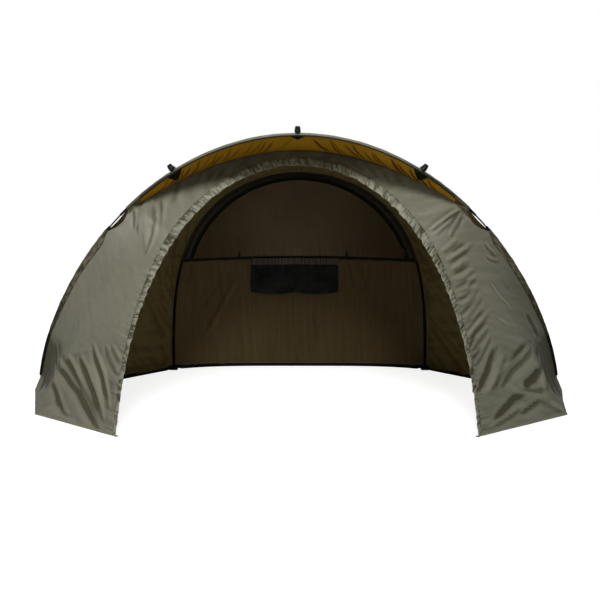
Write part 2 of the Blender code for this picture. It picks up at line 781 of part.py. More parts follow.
def peak_patch(name, middle, half_width, deep):
    """A black triangle of cloth under the lining, below a cap."""
    last = 2 * HALF - TIP_STATION
    lining, rib_x = liner_grid(TIP_STATION, last, 1), FRONT[TIP_STATION:last + 1, 0]
    depth = np.linalg.norm(liner_at(lining, rib_x, middle, 1.0) - liner_at(lining, rib_x, middle, 0.0))
    along, slope = lining[1:, 0] - lining[:-1, 0], lining[:-1, 1] - lining[:-1, 0]
    bend = np.sum((lining[1:, 1] - lining[1:, 0] - slope) * unit(np.cross(along, slope)), axis=1)
    between = (rib_x[1:] + rib_x[:-1]) / 2
    warp = float(np.interp(abs(middle) + half_width, between, np.abs(bend))) / LINER_ROWS / 4
    grid = np.zeros((PATCH_STEPS + 1, PATCH_ROWS + 1, 3))
    for index, across in enumerate(np.linspace(-1.0, 1.0, PATCH_STEPS + 1)):
        x = middle + half_width * across
        reach = deep / depth * (1.0 - abs(across) * PATCH_TAPER_SHARE)
        outwards = [np.interp(x, rib_x, FRONT_OUT[TIP_STATION:last + 1, axis]) for axis in range(3)]
        for row, share in enumerate(np.linspace(0.0, 1.0, PATCH_ROWS + 1)):
            place_on = PATCH_START_SHARE + reach * share
            point = liner_at(lining, rib_x, x, place_on)
            ahead = liner_at(lining, rib_x, x + PATCH_THICKNESS, place_on) - point
            down = unit(np.cross(liner_at(lining, rib_x, x, place_on + PATCH_START_SHARE) - point, ahead))
            down = down * -np.sign(np.dot(down, outwards))
            grid[index, row] = point + down * (CLOTH / 2 + PATCH_THICKNESS / 2 + SEAM_GAP / 2 + warp)
    return sheet(name, grid, PATCH_THICKNESS, BLACK_WEBBING)


def panel_outer_edge():
    """The panel's outer edge: inside the leg sleeves, in from the bare rod, then along the seam."""
    towards = unit(DOOR - FRONT)
    bump = np.clip((SHARES - GAP_LOW_SHARE) / (GAP_HIGH_SHARE - GAP_LOW_SHARE), 0.0, 1.0)
    inset_half = SLEEVE_RADIUS + SEAM_GAP * 2 + GAP_INSET * np.sin(pi * bump)
    inset_half[0] = FOOT_INSET
    inset = np.concatenate([inset_half, inset_half[::-1][1:]])
    edge = FRONT + towards * inset[:, None]
    roof = slice(TIP_STATION, 2 * HALF - TIP_STATION + 1)
    edge[roof] = SEAM[roof]
    edge[0, 2] = edge[-1, 2] = GROUND_CLEAR
    return edge


PANEL_EDGE = panel_outer_edge()


def door_edges():
    """The door's edge, and the line where the ruffled binding meets the panel."""
    inner = DOOR.copy()
    inner[:, 2] = np.maximum(inner[:, 2], GROUND_CLEAR)
    outwards = unit(PANEL_EDGE - inner)
    return inner, inner + outwards * (BINDING_WIDTH + SEAM_GAP + CLOTH / 2)


def wing_flare(row_share, side):
    """How far the hem stands out of the straight line from the foot to the door peg."""
    peg_share = WING_PEG_ROW / WING_ROWS
    _, seam = door_edges()
    start, end = PANEL_EDGE[0], seam[0]
    straight = start + (end - start) * peg_share
    reach = np.array([-WING_PEG_X, -WING_PEG_REACH, straight[2]]) - straight
    rise = row_share / peg_share if row_share <= peg_share else (1.0 - row_share) / (1.0 - peg_share)
    return reach * rise * np.array([-side, 1.0, 1.0])


def wing_fold(share, row_share):
    """Slanting folds that run from the leg sleeve down to the hem."""
    fade = sin(pi * min(1.0, share / WING_FOLD_SHARE)) if share < WING_FOLD_SHARE else 0.0
    phase = WING_FOLDS * (row_share + share)
    return WING_FOLD_DEPTH * fade * sin(pi * row_share) ** 2 * sin(2.0 * pi * phase)


def panel_grid():
    _, seam = door_edges()
    grid = loft(PANEL_EDGE, seam, WING_ROWS)
    across = unit(seam - PANEL_EDGE)
    along = unit(np.gradient(PANEL_EDGE, axis=0))
    facing = unit(np.cross(across, along))
    whole = np.concatenate([SHARES, SHARES[::-1][1:]])
    for column, share in enumerate(whole):
        side = -1.0 if column <= HALF else 1.0
        fade = max(0.0, 1.0 - share / WING_FLARE_SHARE) ** 2
        for row in range(WING_ROWS + 1):
            row_share = row / WING_ROWS
            grid[column, row] += wing_flare(row_share, side) * fade
            grid[column, row] += facing[column] * wing_fold(share, row_share)
    return grid


def door_binding():
    """The gathered band round the door, with its ruffles."""
    inner, _ = door_edges()
    outwards = unit(PANEL_EDGE - inner)
    steps = BINDING_RUFFLES * BINDING_STEPS
    places = np.linspace(-1.0, 1.0, steps + 1)
    grid = np.zeros((steps + 1, 3, 3))
    for index, place_along in enumerate(places):
        base = at_place(inner, place_along)
        out = unit(at_place(outwards, place_along))
        facing = np.array([0.0, -1.0, DOOR_SLOPE]) / sqrt(1.0 + DOOR_SLOPE ** 2)
        fade = min(1.0, (1.0 - abs(place_along)) * BINDING_RUFFLES / 2)
        ruffle = BINDING_RUFFLE * fade * sin(2.0 * pi * index / BINDING_STEPS + 0.6)
        for row in range(3):
            puff = 0.0 if row == 2 else 1.0
            grid[index, row] = base + out * (BINDING_WIDTH * row / 2) + facing * ruffle * puff
    grid[:, :, 2] = np.maximum(grid[:, :, 2], GROUND_CLEAR)
    return sheet("door_binding", grid, BINDING_THICKNESS, OLIVE)


# Rear wall

def tape_middle(x):
    """Height of the tape's middle line across the rear wall."""
    return TAPE_HEIGHT - TAPE_DROP * (np.asarray(x) / REAR_HALF_WIDTH) ** 2


def rear_half_width(height):
    """Clear half width inside the rear rib's sleeve, at a height."""
    inside = (REAR - REAR_OUT * (REAR_SLEEVE_RADIUS + SEAM_GAP))[:HALF + 1]
    return -np.interp(height, inside[:, 2], inside[:, 0])


def tape_grid(low, high, half_width, columns, y):
    x = np.linspace(-half_width, half_width, columns + 1)
    middle = tape_middle(x)
    return np.stack([np.stack([x, np.full_like(x, y), middle + edge], axis=-1) for edge in (low, high)], axis=1)


def tape_half_width():
    heights = np.linspace(TAPE_HEIGHT - TAPE_DROP - TAPE_WIDTH, TAPE_HEIGHT, 9)
    return float(rear_half_width(heights).min())


def lower_wall():
    """The rear wall under the tape, which stands out behind the rib towards its foot."""
    across = np.linspace(-1.0, 1.0, WALL_COLUMNS + 1)
    rows = np.linspace(0.0, 1.0, WALL_ROWS + 1)
    heights = np.linspace(GROUND_CLEAR, TAPE_HEIGHT - TAPE_DROP - TAPE_WIDTH / 2 - SEAM_GAP, WALL_ROWS + 1)
    half = rear_half_width(heights) - SEAM_GAP * 2
    half[0] = min(half[0], REAR_HALF_WIDTH - FOOT_HALF_SIDE - SEAM_GAP * 2 - HEM_THICKNESS)
    grid = np.zeros((WALL_COLUMNS + 1, WALL_ROWS + 1, 3))
    for j, row in enumerate(rows):
        x = half[j] * across
        top = tape_middle(x) - TAPE_WIDTH / 2 - SEAM_GAP
        height = GROUND_CLEAR + (top - GROUND_CLEAR) * row
        bulge = WALL_BULGE * (1.0 - row) ** WALL_BULGE_EXPONENT * (1.0 - across ** 4)
        grid[:, j] = np.stack([x, REAR_SETBACK + bulge, height], axis=-1)
    return grid


def zip_arc(radius, columns):
    """Points of an arc about the zip's centre, from one end over the top to the other."""
    low = zip_end_angle(radius)
    angles = np.linspace(pi - low, low, columns + 1)
    return np.stack([radius * np.cos(angles), np.full_like(angles, REAR_SETBACK),
                     ZIP_CENTRE_HEIGHT + radius * np.sin(angles)], axis=-1)


def zip_end_angle(radius):
    """The angle at which an arc about the zip's centre comes down on the tape."""
    angles = np.linspace(0.0, pi / 4, CURVE_SAMPLES)
    height = ZIP_CENTRE_HEIGHT + radius * np.sin(angles)
    tape = tape_middle(radius * np.cos(angles)) + TAPE_WIDTH / 2 + SEAM_GAP
    return float(np.interp(0.0, height - tape, angles))


def rib_inside(columns):
    """Points just inside the rear sleeve, from the tape on one side over the crown to the other."""
    inside = REAR - REAR_OUT * (REAR_SLEEVE_RADIUS + SEAM_GAP)
    tape = tape_middle(inside[:, 0]) + TAPE_WIDTH / 2 + SEAM_GAP
    side = inside[:HALF + 1]
    low = float(np.interp(0.0, (side[:, 2] - tape[:HALF + 1]), PLACES[:HALF + 1]))
    return np.array([at_place(inside, place_along) for place_along in np.linspace(low, -low, columns + 1)])


def window():
    """The arch band, the round-topped window panel and the zip track between them."""
    half_zip = ZIP_WIDTH / 2
    band = loft(zip_arc(ZIP_RADIUS + half_zip + SEAM_GAP, ZIP_COLUMNS), rib_inside(ZIP_COLUMNS), BAND_ROWS)
    sheet("arch_band", band, CLOTH, OLIVE)
    sheet("zip_track", loft(zip_arc(ZIP_RADIUS - half_zip, ZIP_COLUMNS),
                            zip_arc(ZIP_RADIUS + half_zip, ZIP_COLUMNS), 1), ZIP_THICKNESS, ZIP_BLACK)
    top = zip_arc(ZIP_RADIUS - half_zip - SEAM_GAP, ZIP_COLUMNS)
    foot = top.copy()
    foot[:, 2] = tape_middle(top[:, 0]) + TAPE_WIDTH / 2 + SEAM_GAP
    top[[0, -1], 2] += SEAM_GAP
    panel = loft(foot, top, WINDOW_ROWS)
    for column in range(ZIP_COLUMNS + 1):
        for row in range(WINDOW_ROWS + 1):
            share = row / WINDOW_ROWS
            wave = sin(2.0 * pi * WINDOW_WRINKLES * column / ZIP_COLUMNS + 2.0 * share)
            panel[column, row, 1] += WINDOW_WRINKLE * (1.0 + wave) * sin(pi * share) * (1.0 - share)
    sheet("window_panel", panel, CLOTH, OLIVE)


def slider_turn():
    """The slider's own frame: x across the zip, y up along it, z out of the wall into the tent."""
    across = Vector((cos(SLIDER_ANGLE), 0.0, sin(SLIDER_ANGLE)))
    along = Vector((-sin(SLIDER_ANGLE), 0.0, cos(SLIDER_ANGLE)))
    middle = Vector((0.0, REAR_SETBACK, ZIP_CENTRE_HEIGHT)) + across * ZIP_RADIUS
    middle += along * (SLIDER_LENGTH / 2)
    return frame_at(middle, across, along)


def zip_slider():
    """A slider body with two lugs and the pin that the puller hangs on."""
    turn = slider_turn()
    face = ZIP_THICKNESS / 2 + TOUCH_GAP
    outline = [(-SLIDER_NOSE_WIDTH / 2, -SLIDER_LENGTH / 2), (SLIDER_NOSE_WIDTH / 2, -SLIDER_LENGTH / 2),
               (SLIDER_WIDTH / 2, SLIDER_LENGTH / 4), (SLIDER_WIDTH / 2, SLIDER_LENGTH / 2),
               (-SLIDER_WIDTH / 2, SLIDER_LENGTH / 2), (-SLIDER_WIDTH / 2, SLIDER_LENGTH / 4)]
    body = plate("zip_slider", outline, SLIDER_DEPTH, PLASTIC, turn @ Matrix.Translation(
        (0.0, 0.0, face + SLIDER_DEPTH / 2)))
    top = face + SLIDER_DEPTH
    for hand in (-1, 1):
        near, far = sorted((hand * LUG_HALF_GAP, hand * (LUG_HALF_GAP + LUG_THICKNESS)))
        lug = box(f"slider_lug_{hand}", (near, -LUG_HALF_LENGTH, top - SLIDER_DEPTH / 2),
                  (far, LUG_HALF_LENGTH, top + LUG_HEIGHT), helper=True, turn=turn)
        boolean(body, lug, "UNION")
    reach = LUG_HALF_GAP + LUG_THICKNESS / 2
    pin = cylinder("slider_pin", (-reach, 0.0, top + LUG_HEIGHT / 2), (reach, 0.0, top + LUG_HEIGHT / 2),
                   PULL_PIN_RADIUS, helper=True, sides=12, turn=turn)
    boolean(body, pin, "UNION")
    return body, turn @ Vector((0.0, 0.0, top + LUG_HEIGHT / 2)), turn


def plate(name, outline, thickness, finish, turn, helper=False):
    """A flat piece from an outline, as a filled curve with a thickness."""
    data = bpy.data.curves.new(name, "CURVE")
    data.dimensions = "2D"
    data.fill_mode = "BOTH"
    data.extrude = thickness / 2
    spline = data.splines.new("POLY")
    spline.points.add(len(outline) - 1)
    spline.use_cyclic_u = True
    for knot, (x, y) in zip(spline.points, outline):
        knot.co = (x, y, 0.0, 1.0)
    made = place(name, as_mesh(name, data), finish, helper)
    made.matrix_world = turn
    return made


def zip_puller(hinge, turn):
    """A flat tag that hangs from the slider's pin."""
    frame = turn.copy()
    frame.translation = hinge
    width = LUG_HALF_GAP - RUNNING_GAP
    clear = LUG_HEIGHT
    outline = [(-width, 0.0), (width, 0.0), (width, clear), (PULL_TIP_WIDTH / 2, PULL_LENGTH * 3 / 4),
               (width, PULL_LENGTH), (-width, PULL_LENGTH), (-PULL_TIP_WIDTH / 2, PULL_LENGTH * 3 / 4),
               (-width, clear)]
    outline = [(x, -y) for x, y in reversed(outline)]
    tag = plate("zip_puller", outline, PULL_THICKNESS, PLASTIC, frame)
    eye = cylinder("puller_eye", (-width, 0.0, 0.0), (width, 0.0, 0.0), PULL_EYE_RADIUS, helper=True,
                   sides=16, turn=frame)
    bore = cylinder("puller_bore", (-width - CUT_OVERRUN, 0.0, 0.0), (width + CUT_OVERRUN, 0.0, 0.0),
                    PULL_PIN_RADIUS + RUNNING_GAP, helper=True, sides=16, turn=frame)
    boolean(tag, eye, "UNION")
    boolean(tag, bore, "DIFFERENCE")
    return tag


def pocket_mouth(x):
    """How far the pocket's front stands off its back, over its two halves."""
    return POCKET_BAG * np.sin(pi * np.abs(x - POCKET_CENTRE_X) / POCKET_HALF_WIDTH) ** 0.8


def pocket():
    """The organiser pocket under the tape: an elastic header over a net bag in two halves."""
    back = REAR_SETBACK - TAPE_THICKNESS / 2 - TOUCH_GAP - POCKET_THICKNESS / 2
    closed = back - POCKET_THICKNESS - SEAM_GAP
    x = POCKET_CENTRE_X + np.linspace(-POCKET_HALF_WIDTH, POCKET_HALF_WIDTH, POCKET_COLUMNS + 1)
    mouth = pocket_mouth(x)
    top = tape_middle(x) - TAPE_WIDTH / 4
    pleat = np.where(np.arange(POCKET_COLUMNS + 1) % 2 == 0, 0.0, POCKET_THICKNESS)
    header = np.zeros((POCKET_COLUMNS + 1, 3, 3))
    for row, share in enumerate(np.linspace(0.0, 1.0, 3)):
        fixed = back + (closed - back) * share
        depth = fixed - mouth * (MOUTH_SHARE + (1.0 - MOUTH_SHARE) * share) - pleat * sin(pi * share)
        header[:, row] = np.stack([x, depth, top - POCKET_HEADER * share], axis=-1)
    sheet("pocket_header", header, POCKET_THICKNESS, OLIVE)
    start = top - POCKET_HEADER - SEAM_GAP
    foot = TAPE_HEIGHT - POCKET_HEADER - POCKET_DEPTH + POCKET_CUSP * (1.0 - mouth / POCKET_BAG)
    bag = np.zeros((POCKET_COLUMNS + 1, POCKET_ROWS * 2 + 1, 3))
    for row in range(POCKET_ROWS * 2 + 1):
        down = min(1.0, row / POCKET_ROWS)
        up = max(0.0, row / POCKET_ROWS - 1.0)
        sag = 1.0 + BAG_SAG_SHARE * sin(pi * down)
        front = closed - mouth * (sag if row < POCKET_ROWS else 1.0 / 2) * (1.0 - down ** 6 / 2)
        seat = front if up == 0.0 else np.full_like(x, back)
        head = TAPE_HEIGHT - TAPE_DROP - TAPE_WIDTH / 2
        fall = start + (foot - start) * down if up == 0.0 else foot + (head - foot) * up
        bag[:, row] = np.stack([x, seat, fall], axis=-1)
    sheet("pocket_bag", bag, POCKET_THICKNESS, NET)


def toggle(name, x):
    """A barrel toggle on its elastic, turning on a small anchor sewn to the tape."""
    front = REAR_SETBACK - TAPE_THICKNESS / 2 - TOUCH_GAP
    height = float(tape_middle(x))
    hinge = Vector((x, front - TOGGLE_STANDOFF, height))
    half = TOGGLE_ANCHOR_HALF_WIDTH
    anchor = box(f"toggle_anchor_{name}", (x - half, hinge.y - TOGGLE_EYE_RADIUS, height - TOGGLE_EYE_RADIUS),
                 (x + half, front, height + TOGGLE_EYE_RADIUS), PLASTIC)
    room = half / 2
    notch = box(f"anchor_notch_{name}", (x - room, hinge.y - TOGGLE_EYE_RADIUS * 2, height - TOGGLE_EYE_RADIUS * 2),
                (x + room, front - TOGGLE_PIN_RADIUS / 2, height + TOGGLE_EYE_RADIUS * 2), helper=True)
    pin = cylinder(f"anchor_pin_{name}", (x - half + TOUCH_GAP, hinge.y, height),
                   (x + half - TOUCH_GAP, hinge.y, height), TOGGLE_PIN_RADIUS, helper=True, sides=12)
    boolean(anchor, notch, "DIFFERENCE")
    boolean(anchor, pin, "UNION")
    width = room - RUNNING_GAP
    eye_radius = TOGGLE_EYE_RADIUS - TOUCH_GAP * 2
    made = cylinder(f"window_toggle_{name}", (x - width, hinge.y, height), (x + width, hinge.y, height),
                    eye_radius, PLASTIC, sides=16)
    stem = cylinder(f"toggle_stem_{name}", (x, hinge.y, height), (x, hinge.y, height + TOGGLE_LENGTH / 2),
                    width * 0.8, helper=True, sides=12)
    profile = [(0.0, TOGGLE_LENGTH), (TOGGLE_WAIST_RADIUS, TOGGLE_LENGTH),
               (TOGGLE_RADIUS, TOGGLE_LENGTH * 0.93), (TOGGLE_RADIUS, TOGGLE_LENGTH * 0.78),
               (TOGGLE_WAIST_RADIUS, TOGGLE_LENGTH * 0.66), (TOGGLE_WAIST_RADIUS, TOGGLE_LENGTH * 0.58),
               (TOGGLE_RADIUS * 0.9, TOGGLE_LENGTH * 0.46), (TOGGLE_RADIUS * 0.9, TOGGLE_LENGTH * 0.34),
               (width, TOGGLE_LENGTH * 0.26), (0.0, TOGGLE_LENGTH * 0.26)]
    barrel = turned(f"toggle_barrel_{name}", profile, None, steps=14, helper=True,
                    turn=Matrix.Translation(hinge))
    bore = cylinder(f"toggle_bore_{name}", (x - half, hinge.y, height), (x + half, hinge.y, height),
                    TOGGLE_PIN_RADIUS + RUNNING_GAP, helper=True, sides=12)
    boolean(stem, barrel, "UNION")
    boolean(made, stem, "UNION")
    boolean(made, bore, "DIFFERENCE")
    pinned_to(made, empty(f"window_toggle_{name}_hinge", hinge))


def lamp_loop():
    """A webbing loop that hangs under the ridge of the roof."""
    grid = canopy_grid()[HALF - 1:HALF + 2]
    place_y = grid[1, 0, 1] + (grid[1, -1, 1] - grid[1, 0, 1]) * LOOP_PLACE_SHARE
    heights = [np.interp(place_y + LOOP_HALF_DEPTH, column[:, 1], column[:, 2]) for column in grid]
    beside = LOOP_WIDTH / 2 / abs(grid[0, 0, 0])
    height = heights[1] + (heights[0] - heights[1]) * beside - CLOTH / 2 - SEAM_GAP
    half = LOOP_WIDTH / 2
    turn = Matrix.Translation((0.0, place_y, height)) @ Matrix.Rotation(pi / 2, 4, "X")
    outline = [(-half, 0.0), (-half * 0.7, -LOOP_DROP * 0.8), (-half * 0.35, -LOOP_DROP),
               (half * 0.35, -LOOP_DROP), (half * 0.7, -LOOP_DROP * 0.8), (half, 0.0)]
    wall = LOOP_TAPE_THICKNESS
    hole = [(x * (half - wall) / half, -wall + y * (LOOP_DROP - wall * 2) / LOOP_DROP) for x, y in outline]
    loop = plate("lamp_loop", outline, LOOP_HALF_DEPTH * 2, BLACK_WEBBING, turn)
    cutter = plate("lamp_loop_hole", hole, LOOP_HALF_DEPTH * 4, None, turn, helper=True)
    boolean(loop, cutter, "DIFFERENCE")


# Hems and tabs

def hem(name, low, up, gap=SEAM_GAP * 3 / 2):
    """A black tape round the outside of a cloth's lower edge."""
    rise = unit(up - low)
    out = unit(np.cross(unit(np.gradient(low, axis=0)), rise))
    middle = low.mean(axis=0) * (1.0, 1.0, 0.0)
    if np.dot(out[len(out) // 2], middle) < 0.0:
        out = -out
    foot = low - rise * ((low[:, 2:] - HEM_CLEAR) / rise[:, 2:])
    foot = foot + out * (CLOTH / 2 + HEM_THICKNESS / 2 + gap)
    foot[:, 2] = HEM_CLEAR
    head = foot + rise * HEM_HEIGHT
    return sheet(name, np.stack([foot, head], axis=1), HEM_THICKNESS, BLACK_WEBBING)


def peg_tab(name, corner, away, clear):
    """A webbing tab with a peg hole, lying outwards from a corner of the front panel."""
    away = Vector((*away, 0.0)).normalized()
    start = Vector(corner) + away * clear
    start.z = TAB_LIFT
    turn = frame_at(start, away.cross(Vector((0.0, 0.0, 1.0))), away)
    half = TAB_WIDTH / 2
    shoulder = TAB_LENGTH * TAB_SHOULDER_SHARE
    tip = half * TAB_SHOULDER_SHARE
    outline = [(-half, 0.0), (half, 0.0), (half, shoulder), (tip, TAB_LENGTH), (-tip, TAB_LENGTH), (-half, shoulder)]
    tab = plate(name, outline, TAB_THICKNESS, BLACK_WEBBING, turn)
    centre = TAB_LENGTH - half
    hole = cylinder(f"{name}_hole", (0.0, centre, -TAB_THICKNESS * 2), (0.0, centre, TAB_THICKNESS * 2),
                    TAB_HOLE_RADIUS, helper=True, turn=turn)
    boolean(tab, hole, "DIFFERENCE")
    return tab


def peg_tabs():
    grid = panel_grid()
    made = []
    for name, column, side in (("left", 0, -1.0), ("right", -1, 1.0)):
        made.append(peg_tab(f"wing_tab_{name}", grid[column, WING_PEG_ROW], (side, -DOOR_SLOPE),
                            CLOTH / 2 + TOUCH_GAP))
        made.append(peg_tab(f"door_tab_{name}", DOOR[column], (side * TAB_SPLAY, -1.0),
                            BINDING_THICKNESS / 2 + TOUCH_GAP))
    return made


# The whole tent

def build():
    pivot = empty("front_rib_fold", (0.0, 0.0, PIVOT_HEIGHT))
    carried = front_rib() + front_sleeves() + leg_clips()
    for name, station, _, _ in pole_lines():
        carried.append(pole_cap(name, station))
    last = 2 * HALF - TIP_STATION
    carried.append(sheet("peak_liner", liner_grid(TIP_STATION, last, LINER_ROWS), CLOTH, MUSTARD))
    carried.append(sheet("front_panel", panel_grid(), CLOTH, OLIVE))
    carried.append(door_binding())
    side_x = FRONT[2 * HALF - POLE_STATION, 0]
    carried.append(peak_patch("peak_patch_left", -side_x, SIDE_PATCH_HALF_WIDTH, SIDE_PATCH_DEPTH))
    carried.append(peak_patch("peak_patch_centre", 0.0, PATCH_HALF_WIDTH, PATCH_DEPTH))
    carried.append(peak_patch("peak_patch_right", side_x, SIDE_PATCH_HALF_WIDTH, SIDE_PATCH_DEPTH))
    carried += peg_tabs()
    for side, name in ((-1, "left"), (1, "right")):
        pivot_block(side, name)
        carried.append(rib_socket(side, name))
        rear_foot(side, name)
    for item in carried:
        pinned_to(item, pivot)
    rear_rib()
    sheet("canopy", canopy_grid(), CLOTH, OLIVE)
    roof_poles()
    sheet("rear_wall", lower_wall(), CLOTH, OLIVE)
    sheet("rear_tape", tape_grid(-TAPE_WIDTH / 2, TAPE_WIDTH / 2, tape_half_width(), WALL_COLUMNS, REAR_SETBACK),
          TAPE_THICKNESS, TAPE_GREEN)
    window()
    slider, hinge, turn = zip_slider()
    track = empty("zip_slider_run", (0.0, REAR_SETBACK, ZIP_CENTRE_HEIGHT))
    pinned_to(slider, track)
    puller = zip_puller(hinge, turn)
    pinned_to(puller, empty("zip_puller_hinge", hinge))
    pocket()
    toggle("left", TOGGLE_LEFT_X)
    toggle("right", TOGGLE_RIGHT_X)
    lamp_loop()
    canopy, wall = canopy_grid(), lower_wall()
    hem("hem_left", canopy[0], canopy[1])
    hem("hem_right", canopy[-1], canopy[-2])
    hem("hem_rear", wall[:, 0], wall[:, 1], SEAM_GAP * 3)


clear_scene()
PARTS = collection("bivvy_tent")
CUTTERS = collection("cutters")
OLIVE = material("olive_cloth", (0.16, 0.16, 0.12), 0.75)
MUSTARD = material("mustard_lining", (0.10, 0.055, 0.006), 0.75)
BLACK_WEBBING = material("black_webbing", (0.006, 0.007, 0.005), 0.85)
TAPE_GREEN = material("dark_green_tape", (0.010, 0.014, 0.008), 0.85)
NET = material("black_net", (0.008, 0.008, 0.007), 0.9)
ZIP_BLACK = material("zip_black", (0.005, 0.005, 0.005), 0.6)
BLACK_ROD = material("rod_black", (0.01, 0.01, 0.012), 0.35)
PLASTIC = material("moulded_black", (0.008, 0.008, 0.012), 0.4)
build()
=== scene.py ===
"""Looks of the bivvy tent: coated cloth, webbing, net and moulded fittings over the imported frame.

Metres, +Z up, door towards -Y, as in the frame. Places along an arch run from -1 at the left
foot over 0 at the crown to 1 at the right foot. Rows run across a cloth, from 0 to 1.
"""
from math import cos, pi, radians, sin, sqrt

import bpy
import numpy as np
from mathutils import Matrix, Vector


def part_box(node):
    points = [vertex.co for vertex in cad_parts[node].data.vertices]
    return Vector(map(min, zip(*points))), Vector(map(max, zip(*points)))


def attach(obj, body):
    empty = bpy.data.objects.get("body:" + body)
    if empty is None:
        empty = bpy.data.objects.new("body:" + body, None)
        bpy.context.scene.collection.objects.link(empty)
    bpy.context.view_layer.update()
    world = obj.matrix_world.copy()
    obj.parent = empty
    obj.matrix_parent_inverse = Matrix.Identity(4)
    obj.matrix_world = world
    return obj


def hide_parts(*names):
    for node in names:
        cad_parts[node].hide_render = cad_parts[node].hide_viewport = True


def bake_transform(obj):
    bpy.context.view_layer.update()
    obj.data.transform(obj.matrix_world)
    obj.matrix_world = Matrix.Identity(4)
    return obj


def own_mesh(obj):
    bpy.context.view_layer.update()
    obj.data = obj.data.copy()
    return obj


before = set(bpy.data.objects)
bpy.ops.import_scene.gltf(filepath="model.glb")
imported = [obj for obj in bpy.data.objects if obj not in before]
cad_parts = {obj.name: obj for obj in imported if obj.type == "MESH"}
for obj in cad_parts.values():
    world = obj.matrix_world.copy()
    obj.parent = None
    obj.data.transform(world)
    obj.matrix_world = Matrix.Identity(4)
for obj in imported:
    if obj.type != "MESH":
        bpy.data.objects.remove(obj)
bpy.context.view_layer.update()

# The frame's own sizes
FRONT_HALF_WIDTH, FRONT_RIB_REACH, FRONT_RIB_LEAN = 1.40, 1.42, radians(20.0)
REAR_HALF_WIDTH, REAR_RIB_HEIGHT, REAR_SETBACK = 0.80, 1.245, 0.93
PIVOT_HEIGHT, GROUND = 0.030, 0.003
# Shares of the front rib from its foot up: the bare stretch, the peak's tip, the side pole, the socket
GAP_LOW, GAP_HIGH, TIP, SIDE_POLE, FOOT_SHARE = 0.4815, 0.5556, 0.60, 0.70, 0.0438
SIDE_POLE_PLACE = 0.3
# Outer radius of the rib sleeves, the middle of their cloth, and the way round it
SLEEVE, SLEEVE_TUBE, SLEEVE_GIRTH = 0.0080, 0.0080 - 0.0004, 0.0485
REAR_SLEEVE, REAR_SLEEVE_TUBE = 0.0116, 0.0116 - 0.0008
POLE_RISE = 0.0185
DOOR_HALF_WIDTH, DOOR_HEIGHT, DOOR_REACH, DOOR_SLOPE = 0.795, 1.228, 1.05, 0.68
SEAM_HALF_WIDTH, SEAM_HEIGHT, SEAM_RISE = 0.785, 1.309, 0.271
BINDING_WIDTH = 0.036
THICK_CLOTH, THIN_CLOTH, PATCH, WEB = 0.0012, 0.0010, 0.0008, 0.0018
WING_PEGS = {-1.0: (1.285, -0.54), 1.0: (1.316, -0.54)}
ZIP_RADIUS, ZIP_CENTRE, ZIP_HALF_WIDTH = 0.706, 0.497, 0.0075
TAPE_HEIGHT, TAPE_DROP, TAPE_WIDTH = 0.714, 0.026, 0.018
POCKET_CENTRE, POCKET_HALF_WIDTH, POCKET_HEADER, POCKET_DEPTH = -0.030, 0.274, 0.039, 0.192
POCKET_MOUTH = 0.030
FRONT_ACROSS = np.array([0.0, cos(FRONT_RIB_LEAN), sin(FRONT_RIB_LEAN)])
REAR_ACROSS = np.array([0.0, 1.0, 0.0])
DOOR_ACROSS = np.array([0.0, 1.0, -DOOR_SLOPE]) / sqrt(1.0 + DOOR_SLOPE ** 2)
SIDES = ((-1.0, "left"), (1.0, "right"))


# Camera, floor and light

def new_object(name, data):
    made = bpy.data.objects.new(name, data)
    bpy.context.scene.collection.objects.link(made)
    return made


def set_camera():
    data = bpy.data.cameras.new("photo_camera")
    data.sensor_width = 36.0
    data.lens = 60.0
    camera = new_object("photo_camera", data)
    turn, tilt = radians(0.27), radians(4.73)
    camera.location = (0.0345, -5.3689, 0.965)
    camera.rotation_euler = (pi / 2 - tilt, 0.0, turn)
    bpy.context.scene.camera = camera


def area_light(name, place, aim, size, watts):
    data = bpy.data.lights.new(name, "AREA")
    data.shape = "DISK"
    data.size = size
    data.energy = watts
    lamp = new_object(name, data)
    lamp.location = place
    lamp.rotation_euler = (Vector(aim) - Vector(place)).to_track_quat("-Z", "Y").to_euler()


def cleared_tree(owner, output):
    """The nodes and links of a world or a material, and the surface input of its output."""
    owner.use_nodes = True
    nodes = owner.node_tree.nodes
    nodes.clear()
    return nodes, owner.node_tree.links, nodes.new(output).inputs["Surface"]


def set_light():
    area_light("key", (0.1, -5.4, 5.3), (0.0, -0.3, 0.6), 2.0, 365.0)
    area_light("side", (-5.2, -3.0, 2.6), (0.0, -0.4, 0.5), 1.4, 95.0)
    area_light("door", (2.2, -6.2, 1.8), (-0.4, 0.3, 0.6), 1.8, 20.0)
    area_light("back", (0.5, 5.0, 4.0), (0.0, 0.3, 0.8), 3.0, 70.0)
    world = bpy.data.worlds.new("studio")
    nodes, links, surface = cleared_tree(world, "ShaderNodeOutputWorld")
    seen, lit = nodes.new("ShaderNodeBackground"), nodes.new("ShaderNodeBackground")
    for light, colour, strength in ((seen, (1.0, 1.0, 1.0, 1.0), 1.0), (lit, (0.96, 0.98, 1.0, 1.0), 0.15)):
        light.inputs["Color"].default_value = colour
        light.inputs["Strength"].default_value = strength
    mix, path = nodes.new("ShaderNodeMixShader"), nodes.new("ShaderNodeLightPath")
    links.new(path.outputs["Is Camera Ray"], mix.inputs["Fac"])
    links.new(lit.outputs[0], mix.inputs[1])
    links.new(seen.outputs[0], mix.inputs[2])
    links.new(mix.outputs[0], surface)
    bpy.context.scene.world = world
    bpy.context.scene.view_settings.view_transform = "Standard"


